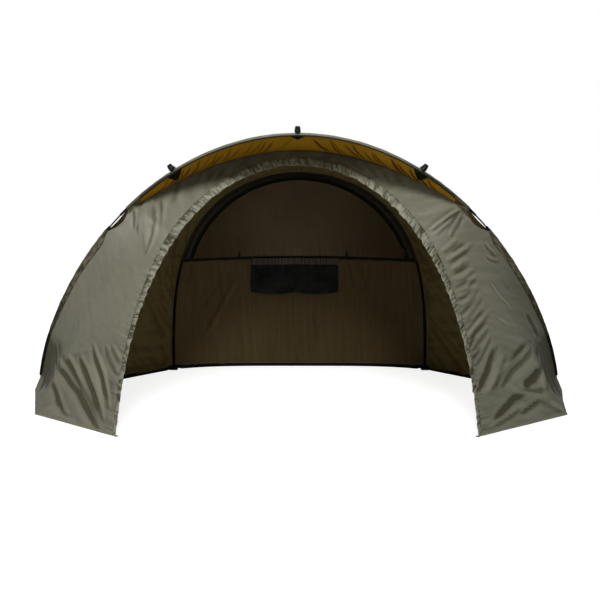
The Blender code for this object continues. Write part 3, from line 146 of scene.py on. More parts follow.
def set_floor():
    """White ground, which glows a little less round the tent than far from it."""
    bpy.ops.object.select_all(action="DESELECT")
    bpy.ops.mesh.primitive_plane_add(size=40.0, location=(0.0, 0.0, -0.0005))
    floor = bpy.context.object
    floor.name = "floor"
    paint = bpy.data.materials.new("floor_white")
    nodes, links, surface = cleared_tree(paint, "ShaderNodeOutputMaterial")
    kinds = ("BsdfDiffuse", "Emission", "AddShader", "MapRange", "LightPath", "Math")
    diffuse, glow, add, ring, path, scale = (nodes.new(f"ShaderNode{kind}") for kind in kinds)
    diffuse.inputs["Color"].default_value = (0.48, 0.48, 0.48, 1.0)
    place, away = nodes.new("ShaderNodeTexCoord"), nodes.new("ShaderNodeVectorMath")
    away.operation = "LENGTH"
    links.new(place.outputs["Object"], away.inputs[0])
    for socket, value in (("From Min", 1.5), ("From Max", 5.0), ("To Min", 0.84), ("To Max", 1.0)):
        ring.inputs[socket].default_value = value
    links.new(away.outputs["Value"], ring.inputs["Value"])
    scale.operation = "MULTIPLY"
    links.new(path.outputs["Is Camera Ray"], scale.inputs[0])
    links.new(ring.outputs[0], scale.inputs[1])
    links.new(scale.outputs[0], glow.inputs["Strength"])
    links.new(diffuse.outputs[0], add.inputs[0])
    links.new(glow.outputs[0], add.inputs[1])
    links.new(add.outputs[0], surface)
    floor.data.materials.append(paint)


# Materials

class Recipe:
    """A material's node tree, with short names for what is added to it."""

    def __init__(self, name):
        self.material = bpy.data.materials.new(name)
        self.material.use_nodes = True
        self.tree = self.material.node_tree
        self.shader = self.tree.nodes["Principled BSDF"]
        self.place = self.tree.nodes.new("ShaderNodeTexCoord")

    def node(self, kind, **values):
        made = self.tree.nodes.new("ShaderNode" + kind)
        for key, value in values.items():
            if hasattr(made, key):
                setattr(made, key, value)
            else:
                made.inputs[key.replace("_", " ")].default_value = value
        return made

    def link(self, start, end):
        self.tree.links.new(start, end)

    def put(self, value, socket):
        """A number, a colour or another node's output, into a socket."""
        if isinstance(value, tuple):
            socket.default_value = (*value, 1.0)
        elif isinstance(value, (int, float)):
            socket.default_value = value
        else:
            self.link(value, socket)

    def math(self, operation, *values):
        made = self.node("Math", operation=operation)
        for socket, value in zip(made.inputs, values):
            self.put(value, socket)
        return made.outputs[0]

    def times(self, first, second):
        return self.math("MULTIPLY", first, second)

    def noise(self, scale, detail=3.0, stretch=(1.0, 1.0, 1.0)):
        mapping = self.node("Mapping")
        mapping.inputs["Scale"].default_value = stretch
        self.link(self.place.outputs["Object"], mapping.inputs["Vector"])
        made = self.node("TexNoise", Scale=scale, Detail=detail)
        self.link(mapping.outputs[0], made.inputs["Vector"])
        return made.outputs["Fac"]

    def cloth(self):
        """The cloth's own coordinates in metres, along it and across it."""
        split = self.node("SeparateXYZ")
        self.link(self.place.outputs["UV"], split.inputs[0])
        return split.outputs[0], split.outputs[1]

    def wave(self, run, pitch):
        return self.math("SINE", self.times(run, 2.0 * pi / pitch))

    def blend(self, share, low, high):
        made = self.node("Mix", data_type="RGBA")
        self.link(share, made.inputs[0])
        self.put(low, made.inputs[6])
        self.put(high, made.inputs[7])
        return made.outputs[2]

    def ramp(self, value, low, high):
        made = self.node("MapRange", From_Min=low, From_Max=high)
        self.link(value, made.inputs["Value"])
        return made.outputs[0]

    def bump(self, height, strength, distance):
        """A relief, on top of those that were added before it."""
        made = self.node("Bump", Strength=strength, Distance=distance)
        self.link(height, made.inputs["Height"])
        previous = self.shader.inputs["Normal"]
        if previous.is_linked:
            self.link(previous.links[0].from_socket, made.inputs["Normal"])
        self.link(made.outputs[0], previous)

    def finish(self, base, roughness, **values):
        """The surface's own inputs, and then the material itself."""
        for name, value in {"Base_Color": base, "Roughness": roughness, **values}.items():
            self.put(value, self.shader.inputs[name.replace("_", " ")])
        return self.material


def tinted(colour, factor, lift=0.0):
    return tuple(c * factor + lift for c in colour)


def coated_cloth(name, colour, shade, roughness, specular=0.45, sheen=0.0):
    """Proofed woven cloth: a fine plain weave, faint crumpling, slow changes of tone, painted shade in
    creases.

    The tone attribute is painted shading: painted shade darkens it above zero and a painted highlight makes
    it paler below zero.
    """
    made = Recipe(name)
    pitch = 0.0011
    base = made.blend(made.ramp(made.noise(2.6, 4.0), 0.32, 0.68), shade, colour)
    fleck = made.ramp(made.noise(420.0, 2.0), 0.30, 0.70)
    base = made.blend(made.times(fleck, 0.10), base, tinted(colour, 1.35))
    # Painted shade and painted highlights, read from the tone attribute
    painted_shading_and_wear = made.node("Attribute", attribute_name="tone").outputs["Fac"]
    dark = (colour[0] * 0.27, colour[1] * 0.25, colour[2] * 0.14)
    base = made.blend(made.ramp(painted_shading_and_wear, 0.0, 1.0), base, dark)
    base = made.blend(made.ramp(painted_shading_and_wear, 0.0, -1.0), base, tinted(colour, 1.7))
    gloss = made.math("ADD", made.times(made.noise(38.0), 0.16), roughness - 0.08)
    dull = made.times(made.ramp(painted_shading_and_wear, 0.1, 1.1), 0.45)
    warp, weft = (made.wave(run, pitch) for run in made.cloth())
    made.bump(made.times(warp, weft), 0.22, pitch * 0.25)
    made.bump(made.noise(24.0, 4.0), 0.35, 0.0022)
    return made.finish(base, made.math("ADD", gloss, dull), Sheen_Weight=sheen, Sheen_Roughness=0.5,
                       Specular_IOR_Level=specular)


def webbing(name, colour, stitched=False):
    """Woven tape with ribs across it and, where it is sewn, a row of stitches near each edge."""
    made = Recipe(name)
    pitch, edges, inset, stitch_pitch = 0.0016, 0.012, 0.0026, 0.0042
    along, across = made.cloth()
    painted_shading_and_wear = made.ramp(made.noise(60.0, 3.0), 0.35, 0.75)
    base = made.blend(made.times(painted_shading_and_wear, 0.35), colour, tinted(colour, 1.9, 0.004))
    made.bump(made.wave(along, pitch), 0.35, pitch * 0.2)
    if stitched:
        away = made.math("SUBTRACT", made.math("PINGPONG", across, edges), inset)
        row = made.math("LESS_THAN", made.math("ABSOLUTE", away), 0.0005)
        stitch = made.times(row, made.math("GREATER_THAN", made.wave(along, stitch_pitch), -0.35))
        base = made.blend(stitch, base, tinted(colour, 3.2, 0.02))
        made.bump(stitch, 0.6, 0.0004)
    return made.finish(base, 0.8, Specular_IOR_Level=0.12)


def netting(name, colour):
    """Fine knitted net: dark holes between round threads."""
    made = Recipe(name)
    along, across = made.cloth()
    slants = [made.math("ABSOLUTE", made.wave(made.math("ADD", along, made.times(across, sign)), 0.0068))
              for sign in (1.0, -1.0)]
    thread = made.ramp(made.math("MINIMUM", *slants), 0.42, 0.30)
    base = made.blend(thread, tinted(colour, 0.25), colour)
    base = made.blend(made.ramp(made.noise(16.0, 3.0), 0.62, 0.42), base, tinted(colour, 2.4))
    made.bump(thread, 0.8, 0.0008)
    return made.finish(base, 0.85)


def moulded(name, colour, roughness=0.42):
    """Moulded nylon: fine spark grain, with patches a little paler from handling."""
    made = Recipe(name)
    rubbed = made.ramp(made.noise(90.0, 4.0), 0.48, 0.78)
    base = made.blend(made.times(rubbed, 0.5), colour, tinted(colour, 2.2, 0.006))
    made.bump(made.noise(900.0, 2.0), 0.25, 0.0003)
    uneven = made.math("ADD", made.times(made.noise(140.0), 0.2), roughness - 0.1)
    return made.finish(base, uneven, Specular_IOR_Level=0.22)


def pultruded(name, colour):
    """Glass fibre rod: smooth resin with faint streaks along it."""
    made = Recipe(name)
    streak = made.ramp(made.noise(60.0, 3.0, stretch=(6.0, 0.6, 6.0)), 0.4, 0.7)
    base = made.blend(made.times(streak, 0.6), colour, tinted(colour, 2.4, 0.004))
    return made.finish(base, made.math("ADD", made.times(streak, 0.12), 0.26), Coat_Weight=0.3)


def zip_coil(name, colour, tape):
    """The zip's two tapes with the moulded coil between them, across the strip's own width."""
    made = Recipe(name)
    along, across = made.cloth()
    teeth = made.wave(along, 0.0024)
    away = made.math("ABSOLUTE", made.math("SUBTRACT", across, ZIP_HALF_WIDTH))
    middle = made.math("LESS_THAN", away, 0.0040)
    made.bump(made.times(teeth, middle), 0.9, 0.0007)
    return made.finish(made.blend(middle, tape, colour), 0.55, Specular_IOR_Level=0.15)


OUTER = coated_cloth("olive_cloth", (0.160, 0.156, 0.113), (0.140, 0.136, 0.097), 0.40, 0.4, sheen=0.03)
INNER = coated_cloth("brown_proofing", (0.220, 0.166, 0.065), (0.184, 0.138, 0.053), 0.70, 0.12)
WALL = coated_cloth("rear_brown_cloth", (0.165, 0.117, 0.051), (0.140, 0.099, 0.043), 0.70, 0.12)
WINDOW = coated_cloth("window_cloth", (0.200, 0.146, 0.082), (0.162, 0.117, 0.066), 0.66, 0.12)
BAND = coated_cloth("band_cloth", (0.078, 0.066, 0.042), (0.060, 0.051, 0.033), 0.75, 0.12)
HEADER = coated_cloth("header_cloth", (0.140, 0.117, 0.090), (0.112, 0.094, 0.071), 0.66, 0.15)
MUSTARD = coated_cloth("mustard_lining", (0.405, 0.205, 0.007), (0.340, 0.170, 0.005), 0.70, 0.08)
PIPING = coated_cloth("pale_piping", (0.200, 0.190, 0.150), (0.170, 0.160, 0.125), 0.60)
REAR_CLOTH = coated_cloth("rear_sleeve_cloth", (0.046, 0.038, 0.024), (0.036, 0.030, 0.019), 0.75, 0.12)
# Dark edging under the rim, also used as painted shade for the shadow along the peak's seam
DARK_EDGING_AND_SEAM_SHADOW = coated_cloth("dark_edging_and_seam_shadow", (0.016, 0.015, 0.010), (0.012, 0.011, 0.008), 0.70, 0.2)
LEG_CLOTH = coated_cloth("leg_sleeve_cloth", (0.088, 0.078, 0.047), (0.074, 0.064, 0.038), 0.62, 0.3)
BLACK_WEB = webbing("black_webbing", (0.004, 0.004, 0.003))
BLACK_HEM = webbing("black_hem_tape", (0.008, 0.009, 0.007), stitched=True)
GREEN_TAPE = webbing("dark_green_tape", (0.014, 0.017, 0.010), stitched=True)
NET = netting("pocket_net", (0.008, 0.009, 0.006))
ZIP = zip_coil("zip_coil", (0.003, 0.003, 0.003), (0.016, 0.015, 0.010))
PLASTIC = moulded("moulded_black", (0.004, 0.004, 0.007))
ROD = pultruded("rod_black", (0.010, 0.010, 0.013))
WORN_METAL = moulded("worn_black_paint", (0.050, 0.048, 0.042), 0.30)


# Curves of the ribs, the seam and the door

def unit(vectors):
    vectors = np.asarray(vectors, float)
    return vectors / np.maximum(np.linalg.norm(vectors, axis=-1, keepdims=True), 1e-12)


def steps(count):
    return np.linspace(0.0, 1.0, count)


def mixed(first, second, share):
    return first * (1.0 - share) + second * share


def between(first, second, rows):
    """The rows of a cloth from one line of points to another."""
    return mixed(first[:, None], second[:, None], rows[None, :, None])


def run_along(points):
    """How far along a line each of its points is."""
    return np.concatenate([[0.0], np.cumsum(np.linalg.norm(np.diff(points, axis=0), axis=1))])


def points_at(run, points, spots):
    return np.stack([np.interp(spots, run, points[:, k]) for k in range(3)], axis=-1)


def places_round(middle, count_sides, count_middle):
    """Places along an arch, with a spacing of their own in its middle part."""
    return np.concatenate([np.linspace(-1.0, -middle, count_sides),
                           np.linspace(-middle, middle, count_middle)[1:-1],
                           np.linspace(middle, 1.0, count_sides)])


def half_arch(half_width, height, exponent):
    swing = np.linspace(0.0, pi / 2, 1600)
    return half_width * np.cos(swing), height * np.sin(swing) ** (2.0 / exponent)


def whole_arch(x, y, z, places):
    """Points of an arch, given as its right half from the foot up, at places along it."""
    half = np.stack([x, np.broadcast_to(y, x.shape), z], axis=-1)
    places = np.asarray(places, float)
    run = run_along(half)
    found = points_at(run, half, (1.0 - np.abs(places)) * run[-1])
    found[..., 0] *= np.where(places < 0.0, -1.0, 1.0)
    return found


def front_rib(places):
    x, reach = half_arch(FRONT_HALF_WIDTH, FRONT_RIB_REACH, 1.5)
    return whole_arch(x, -reach * sin(FRONT_RIB_LEAN), PIVOT_HEIGHT + reach * cos(FRONT_RIB_LEAN), places)


def rear_rib(places):
    x, height = half_arch(REAR_HALF_WIDTH, REAR_RIB_HEIGHT, 3.3)
    return whole_arch(x, REAR_SETBACK, height, places)


def keep_above(grid, height):
    grid[..., 2] = np.maximum(grid[..., 2], height)


def door_edge(places):
    x, height = half_arch(DOOR_HALF_WIDTH, DOOR_HEIGHT, 2.3)
    found = whole_arch(x, DOOR_SLOPE * height - DOOR_REACH, height, places)
    keep_above(found, GROUND)
    return found


def seam_line(places):
    tip = abs(front_rib(np.array([1.0 - TIP]))[0, 0])
    x = SEAM_HALF_WIDTH * front_rib(places)[..., 0] / tip
    height = SEAM_HEIGHT - SEAM_RISE * (x / SEAM_HALF_WIDTH) ** 2
    return np.stack([x, DOOR_SLOPE * height - DOOR_REACH, height], axis=-1)


def outwards(curve, places, across):
    """The way out of an arch at places along it, square to the arch and to its plane's normal."""
    step = 1e-4
    places = np.asarray(places, float)
    ahead = curve(np.minimum(places + step, 1.0)) - curve(np.maximum(places - step, -1.0))
    return unit(np.cross(unit(ahead), across))


def length_of(points):
    return float(np.linalg.norm(np.diff(points, axis=0), axis=-1).sum())


# Crumples, folds and sheets

def lattice_noise(u, v, seed):
    """Smooth seeded noise from -1 to 1, one cell to a unit of u and v."""
    grid = np.random.RandomState(seed).uniform(-1.0, 1.0, (257, 257))
    i, j = np.floor(u).astype(int), np.floor(v).astype(int)
    a, b = u - i, v - j
    a, b = a * a * (3.0 - 2.0 * a), b * b * (3.0 - 2.0 * b)
    i0, i1, j0, j1 = i % 256, (i + 1) % 256, j % 256, (j + 1) % 256
    return mixed(mixed(grid[i0, j0], grid[i1, j0], a), mixed(grid[i0, j1], grid[i1, j1], a), b)


def crumple(u, v, cell_u, cell_v, seed, layers=3):
    """Layers of noise, each finer and fainter, over cells of a size in metres."""
    total = 0.0
    for layer in range(layers):
        grow = 2.0 ** layer
        wave = lattice_noise(u * grow / cell_u + 7.3 * layer, v * grow / cell_v + 3.1, seed + layer)
        total = total + wave / grow
    return total


def creased(u, v, cell_u, cell_v, seed):
    """As crumple, but with sharp valleys between rounded puffs, from -1 to 1."""
    total = 0.0
    for layer in range(2):
        grow = 2.0 ** layer
        wave = np.abs(lattice_noise(u * grow / cell_u + 5.7 * layer, v * grow / cell_v + 1.9, seed + layer))
        total = total + (2.0 * wave ** 0.7 - 0.9) / grow
    return total


def smooth_step(value, low, high):
    share = np.clip((np.asarray(value, float) - low) / (high - low), 0.0, 1.0)
    return share * share * (3.0 - 2.0 * share)


def fade(value, low, high):
    return 1.0 - smooth_step(value, low, high)


def bell(value, middle, spread):
    return np.exp(-((value - middle) / spread) ** 2)


def held_edges(rows, margin):
    """0 on a cloth's two edges and 1 beyond a margin from them."""
    return np.minimum(1.0, np.minimum(rows, 1.0 - rows) / margin)


def held_end(rows, margin):
    """As held_edges, for the far edge alone."""
    return np.minimum(1.0, (1.0 - rows) / margin)


def surface_normals(grid):
    return unit(np.cross(np.gradient(grid, axis=0), np.gradient(grid, axis=1)))


def on_grid(grid, places, rows, place, row):
    """A point of a surface at a place along it and a share across it."""
    i = np.interp(place, places, np.arange(len(places)))
    j = np.interp(row, rows, np.arange(len(rows)))
    i0, j0 = min(int(i), len(places) - 2), min(int(j), len(rows) - 2)
    low, high = (mixed(grid[i0, k], grid[i0 + 1, k], i - i0) for k in (j0, j0 + 1))
    return mixed(low, high, j - j0)


def smoothed(height, passes):
    for _ in range(passes):
        padded = np.pad(height, 1, mode="edge")
        height = (padded[2:, 1:-1] + padded[:-2, 1:-1]) * 0.25 + padded[1:-1, 1:-1] * 0.5
        padded = np.pad(height, 1, mode="edge")
        height = (padded[1:-1, 2:] + padded[1:-1, :-2]) * 0.25 + padded[1:-1, 1:-1] * 0.5
    return height


def hollows(height, passes=8):
    """How far each point lies below what is round it."""
    return smoothed(height, passes) - height


def strokes(parts, table, stepped=False):
    """Folds or shades from a table of whole numbers.

    A line has the height or strength in parts of one, the half width in tenths of a millimetre, the
    step in tenths where the table is stepped, and each point's place in thousandths and row in hundredths.
    """
    made = []
    for strength, width, *rest in table:
        step = rest.pop(0) / 10 if stepped else 0.0
        points = [(place / 1000, row / 100) for place, row in zip(rest[::2], rest[1::2])]
        made.append((strength / parts, width / 10000, step, points))
    return made


def fold_heights(grid, facing, places, rows, folds):
    """Height of the folds drawn on a surface.

    Each fold is its height and half width in metres, how much of it is a step that stands
    higher on the left of the line, less than zero on its right, and its points as place and row.
    """
    flat = grid.reshape(-1, 3)
    normals = facing.reshape(-1, 3)
    total = np.zeros(len(flat))
    for rise, width, step, points in folds:
        line = np.array([on_grid(grid, places, rows, *point) for point in points])
        reach = width * 3.5
        inside = (flat > line.min(axis=0) - reach) & (flat < line.max(axis=0) + reach)
        near_by = np.flatnonzero(np.all(inside, axis=1))
        spots, out = flat[near_by], normals[near_by]
        run = run_along(line)
        best = np.full(len(spots), 1e9)
        side, along = np.zeros(len(spots)), np.zeros(len(spots))
        for k in range(len(line) - 1):
            start, ahead = line[k], line[k + 1] - line[k]
            size = float(np.linalg.norm(ahead))
            share = np.clip((spots - start) @ ahead / size ** 2, 0.0, 1.0)
            gap = spots - (start + share[:, None] * ahead)
            distance = np.linalg.norm(gap, axis=1)
            nearer = distance < best
            best = np.where(nearer, distance, best)
            side = np.where(nearer, np.einsum("ij,ij->i", np.cross(out, ahead / size), gap), side)
            along = np.where(nearer, (run[k] + share * size) / run[-1], along)
        taper = np.clip(np.minimum(along, 1.0 - along) * 4.0, 0.0, 1.0) ** 0.7
        spread = width * (0.5 + 0.5 * taper)
        lean = 1.0 - abs(step) + step * 1.9 * np.tanh(1.6 * side / spread)
        total[near_by] += rise * taper * bell(best, 0.0, spread) * lean
    return total.reshape(grid.shape[:2])


def cell_corners(values):
    """The four corners of every cell of a grid, in their order round it."""
    return np.stack([values[:-1, :-1], values[1:, :-1], values[1:, 1:], values[:-1, 1:]], axis=2)


def shell(name, grid, thickness, finishes, flip=False, body="shelter", replaced=(), slot="olive_cloth",
          closed=False, tone=None):
    """A sheet of cloth over a grid of points, with its outer finish first and its inner one after."""
    columns, rows = grid.shape[:2]
    index = np.arange(columns * rows).reshape(columns, rows)
    wide = grid
    if closed:
        index, wide = (np.concatenate([values, values[:, :1]], axis=1) for values in (index, grid))
    order = slice(None, None, -1 if flip else 1)
    quads = cell_corners(index).reshape(-1, 4)[:, order]
    data = bpy.data.meshes.new(name)
    data.from_pydata(grid.reshape(-1, 3).tolist(), [], quads.tolist())
    across = np.cumsum(np.linalg.norm(np.diff(wide, axis=1), axis=-1), axis=1)
    run_v = np.concatenate([np.zeros((columns, 1)), across], axis=1)
    run_u = run_along(grid[:, rows // 2])[:, None]
    spots = np.stack([np.broadcast_to(run_u, run_v.shape), run_v], axis=-1)
    corners = cell_corners(spots).reshape(-1, 4, 2)[:, order]
    data.uv_layers.new(name="cloth").data.foreach_set("uv", corners.reshape(-1).astype(np.float32))
    # Painted shade and painted highlights for the cloth's colour, kept as the tone attribute of its points
    if tone is not None:
        painted_shading_and_wear = np.broadcast_to(tone, grid.shape[:2]).reshape(-1).astype(np.float32)
        data.attributes.new("tone", "FLOAT", "POINT").data.foreach_set("value", painted_shading_and_wear)
    for finish in finishes:
        data.materials.append(finish)
    data.shade_smooth()
    made = new_object(name, data)
    if thickness:
        wall = made.modifiers.new("wall", "SOLIDIFY")
        wall.thickness = thickness
        wall.offset = 0.0
        wall.material_offset = len(finishes) - 1
        wall.material_offset_rim = 0
        finish_with_modifiers(made)
    if body:
        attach(made, body)
    if replaced:
        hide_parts(*replaced)
    return made


def finish_with_modifiers(made):
    bpy.ops.object.select_all(action="DESELECT")
    made.select_set(True)
    bpy.context.view_layer.objects.active = made
    for modifier in list(made.modifiers):
        bpy.ops.object.modifier_apply(modifier=modifier.name)


def tube(name, path, radius, finish, across=None, sides=20, thickness=0.0011, ripple=0.0, seed=1, **options):
    """A cloth tube along a path, with faint gathers along its length."""
    radius = np.broadcast_to(radius, len(path))[:, None]
    ahead = unit(np.gradient(path, axis=0))
    if across is None:
        across = np.cross(ahead[len(ahead) // 2], (0.0, 0.0, 1.0))
    side = unit(across - ahead * np.einsum("ij,j->i", ahead, unit(across))[:, None])
    up = np.cross(ahead, side)
    turn = np.linspace(0.0, 2.0 * pi, sides, endpoint=False)
    grow = radius + ripple * crumple(run_along(path)[:, None], turn[None, :] * radius, 0.03, 0.012, seed)
    ring = side[:, None, :] * np.cos(turn)[None, :, None] + up[:, None, :] * np.sin(turn)[None, :, None]
    grid = path[:, None, :] + ring * grow[..., None]
    return shell(name, grid, thickness, [finish], closed=True, flip=True, **options)


# Canopy

def roof_shape(places):
    """How far the roof stands off the line between the ribs: tight at the poles, sagging between."""
    inwards = np.abs(places)
    side = 1.0 - SIDE_POLE
    roof = inwards <= side
    wave = np.sin(pi * inwards / side) ** 2
    out_share = np.clip((inwards - side) / SIDE_POLE, 0.0, 1.0)
    held = POLE_RISE - 0.0070 / 0.908
    lift = np.where(roof, held * (1.0 - wave), held * np.clip(1.0 - out_share / SIDE_POLE, 0.0, 1.0) ** 6)
    sag = np.where(roof, 0.022 * wave, 0.018 * np.sin(pi * out_share) ** 2)
    return lift, sag


def at_foot(places):
    """1 at the feet of an arch, fading to 0 above their sockets."""
    return np.clip(1.0 - (1.0 - np.abs(places)) / FOOT_SHARE, 0.0, 1.0)


def gap_inset(places, depth):
    """How far a cloth's edge draws in from the bare stretch of rib."""
    bare = np.clip((1.0 - np.abs(places) - GAP_LOW) / (GAP_HIGH - GAP_LOW), 0.0, 1.0)
    return depth * np.sin(pi * bare) ** 0.8


def canopy_grid(places, rows):
    front, rear = front_rib(places), rear_rib(places)
    front_out = outwards(front_rib, places, FRONT_ACROSS)[:, None]
    rear_out = outwards(rear_rib, places, REAR_ACROSS)[:, None]
    span = np.linalg.norm(rear - front, axis=1)
    foot = at_foot(places)
    low = (SLEEVE - 0.0006 + (gap_inset(places, 0.025) + 0.058 * foot)) / span
    high = 1.0 - (REAR_SLEEVE_TUBE - 0.0016 * foot) / span
    lift, sag = roof_shape(places)
    share = low[:, None] + (high - low)[:, None] * rows[None, :]
    height = lift[:, None] * held_edges(rows, 0.035) - sag[:, None] * (4.0 * rows * (1.0 - rows))
    line = front[:, None] + (rear - front)[:, None] * share[..., None]
    grid = line + mixed(front_out, rear_out, share[..., None]) * height[..., None]
    grid[..., 2] -= foot[:, None] * (PIVOT_HEIGHT * (1.0 - share) - GROUND)
    return over_feet(grid)


def over_feet(grid):
    """Cloth that comes down at the rear rib lies over its flat feet."""
    beside = np.hypot(np.abs(grid[..., 0]) - REAR_HALF_WIDTH, grid[..., 1] - REAR_SETBACK)
    keep_above(grid, GROUND + 0.0050 * fade(beside, 0.038, 0.060))
    return grid


def make_canopy():
    places, rows = places_round(SIDE_POLE_PLACE, 110, 121), steps(96)
    grid = canopy_grid(places, rows)
    normals = surface_normals(grid)
    u, v = run_along(front_rib(places))[:, None], (rows * 1.4)[None, :]
    off = np.abs(places)[:, None]
    free = held_edges(rows, 0.06)
    near_pole = bell(np.minimum(np.abs(off - SIDE_POLE_PLACE), off), 0.0, 0.02)
    wall = smooth_step(off, 0.3, 0.5)
    slack = crumple(u, v, 0.11, 0.9, 11) * (0.0016 + 0.0026 * wall)
    slack = slack + creased(u + v * 0.8, v, 0.16, 0.50, 17) * 0.0042 * wall
    fine = crumple(u + v * 0.3, v, 0.045, 0.22, 23) * 0.0009
    puckers = crumple(u, v, 0.018, 0.5, 31) * 0.0022 * np.exp(-rows / 0.05)
    height = (slack + fine) * free * (1.0 - 0.8 * near_pole) + puckers * free
    grid = grid + normals * (height * fade(off, 0.985, 1.0))[..., None]
    # Painted shade in the roof's sags, and painted light that makes the roof paler between the side poles
    painted_shading_and_wear = np.clip(hollows(slack * free) / 0.0022, -0.15, 0.30) - 0.35 * fade(off, 0.36, 0.56)
    canopy = shell("canopy_cloth", grid, THICK_CLOTH, [OUTER, INNER], body=None, replaced=("canopy",),
                   tone=painted_shading_and_wear)
    bend_with_rib(canopy)


def bend_with_rib(made):
    """Roof cloth keeps its place, baked into its mesh."""
    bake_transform(made)


def make_roof_sleeves():
    for name, place in (("left", -SIDE_POLE_PLACE), ("centre", 0.0), ("right", SIDE_POLE_PLACE)):
        out = outwards(front_rib, [place], FRONT_ACROSS)[0]
        start = front_rib([place])[0] + out * POLE_RISE
        end = rear_rib([place])[0] + outwards(rear_rib, [place], REAR_ACROSS)[0] * POLE_RISE
        shares = np.linspace(0.028, 0.955, 110)
        swell = 0.0070 * fade(shares, 0.045, 0.085) * smooth_step(shares, 0.026, 0.036)
        path = start + (end - start) * shares[:, None] + out * swell[:, None]
        made = tube(f"roof_sleeve_{name}_cloth", path, 0.0060 + swell, OUTER, sides=16, ripple=0.0005,
                    seed=41, body=None, replaced=(f"roof_sleeve_{name}",))
        bend_with_rib(made)
        flange = canopy_grid(np.linspace(place - 0.011, place + 0.011, 9), np.linspace(0.02, 0.97, 90))
        flange = flange + surface_normals(flange) * 0.0016
        seam = shell(f"roof_seam_{name}", flange, PATCH, [OUTER], body=None)
        bend_with_rib(seam)


# Front rib's sleeves, peak and panel

def make_front_sleeves():
    high = 1.0 - GAP_HIGH
    places = np.linspace(-high, high, 420)
    rim = smooth_step(np.abs(places), 0.20, 0.36)[:, None] * 0.70 + 0.05
    made = tube("peak_sleeve_cloth", front_rib(places), SLEEVE_TUBE, OUTER, FRONT_ACROSS, ripple=0.0007,
                seed=51, body="front_rib", replaced=("peak_sleeve",), tone=rim)
    parts = (("sleeve", 1.0 - GAP_LOW, 0.8403, 260, SLEEVE_TUBE, LEG_CLOTH, 0.0010, 53, "olive_cloth", 0.71),
             ("boot", 0.84, 0.955, 120, SLEEVE, BLACK_WEB, 0.0005, 57, "black_webbing", 0.26))
    for side, name in SIDES:
        for part, top, foot, count, radius, finish, ripple, seed, slot, length in parts:
            path = front_rib(np.linspace(*sorted((side * top, side * foot)), count))
            made = tube(f"leg_{part}_{name}_cloth", path, radius, finish, FRONT_ACROSS, ripple=ripple,
                        seed=seed, body="front_rib", replaced=(f"leg_{part}_{name}",), slot=slot)


def make_leg_flaps():
    """The flat part of each leg's sleeve and boot, sewn down on the panel beside the pole."""
    rows = np.linspace(-0.006, 1.0, 9)
    parts = (("sleeve", 0.160, GAP_LOW - 0.002, LEG_CLOTH, "olive_cloth", (0.034, 0.69), 0.0195),
             ("boot", 0.048, 0.163, BLACK_WEB, "black_webbing", (0.026, 0.25), 0.0052))
    for side, name in SIDES:
        for part, low, high, finish, slot, size, area in parts:
            shares = np.linspace(low, high, 160)
            if side > 0.0:
                shares = shares[::-1]
            grid = panel_grid(side * (1.0 - shares), steps(100))
            facing = unit(-surface_normals(grid)[:, 3])
            if part == "boot":
                wide = np.full(160, 0.017 if side < 0.0 else 0.022)
            else:
                wide = 0.016 + 0.016 * smooth_step(shares, 0.16, 0.24)
                wide = wide * (1.0 - 0.9 * smooth_step(shares, GAP_LOW - 0.04, GAP_LOW))
            across = unit(grid[:, 4] - grid[:, 0])
            away = np.maximum(rows[None, :] * wide[:, None], -0.006)
            strip = grid[:, :1] + across[:, None] * away[..., None]
            run = run_along(grid[:, 0])[:, None]
            lift = 0.0024 + 0.0050 * np.clip(1.0 - away / 0.012, 0.0, 1.0) ** 1.5
            lift = lift + crumple(run, away, 0.05, 0.05, 59) * 0.0010
            strip = strip + facing[:, None] * lift[..., None]
            # Darker along the sewn edge; painted shade in the creases and towards the foot, beside the pole
            painted_shading_and_wear = 0.9 * bell(rows, 0.93, 0.05) + creased(run + away * 0.8, away, 0.03, 0.03, 60) * 0.8
            painted_shading_and_wear = painted_shading_and_wear + 1.0 - smooth_step(shares, 0.18, 0.42)[:, None]
            made = shell(f"leg_{part}_flap_{name}", strip, THIN_CLOTH, [finish], flip=True, body="front_rib",
                         slot=slot, tone=painted_shading_and_wear)
            slacken(made)


def liner_grid(places, rows):
    front, seam = front_rib(places), seam_line(places)
    out = outwards(front_rib, places, FRONT_ACROSS)
    near = front + unit(unit(seam - front) - out * 0.8) * (SLEEVE + 0.0008)
    return between(near, seam - unit(seam - near) * 0.0008, rows)


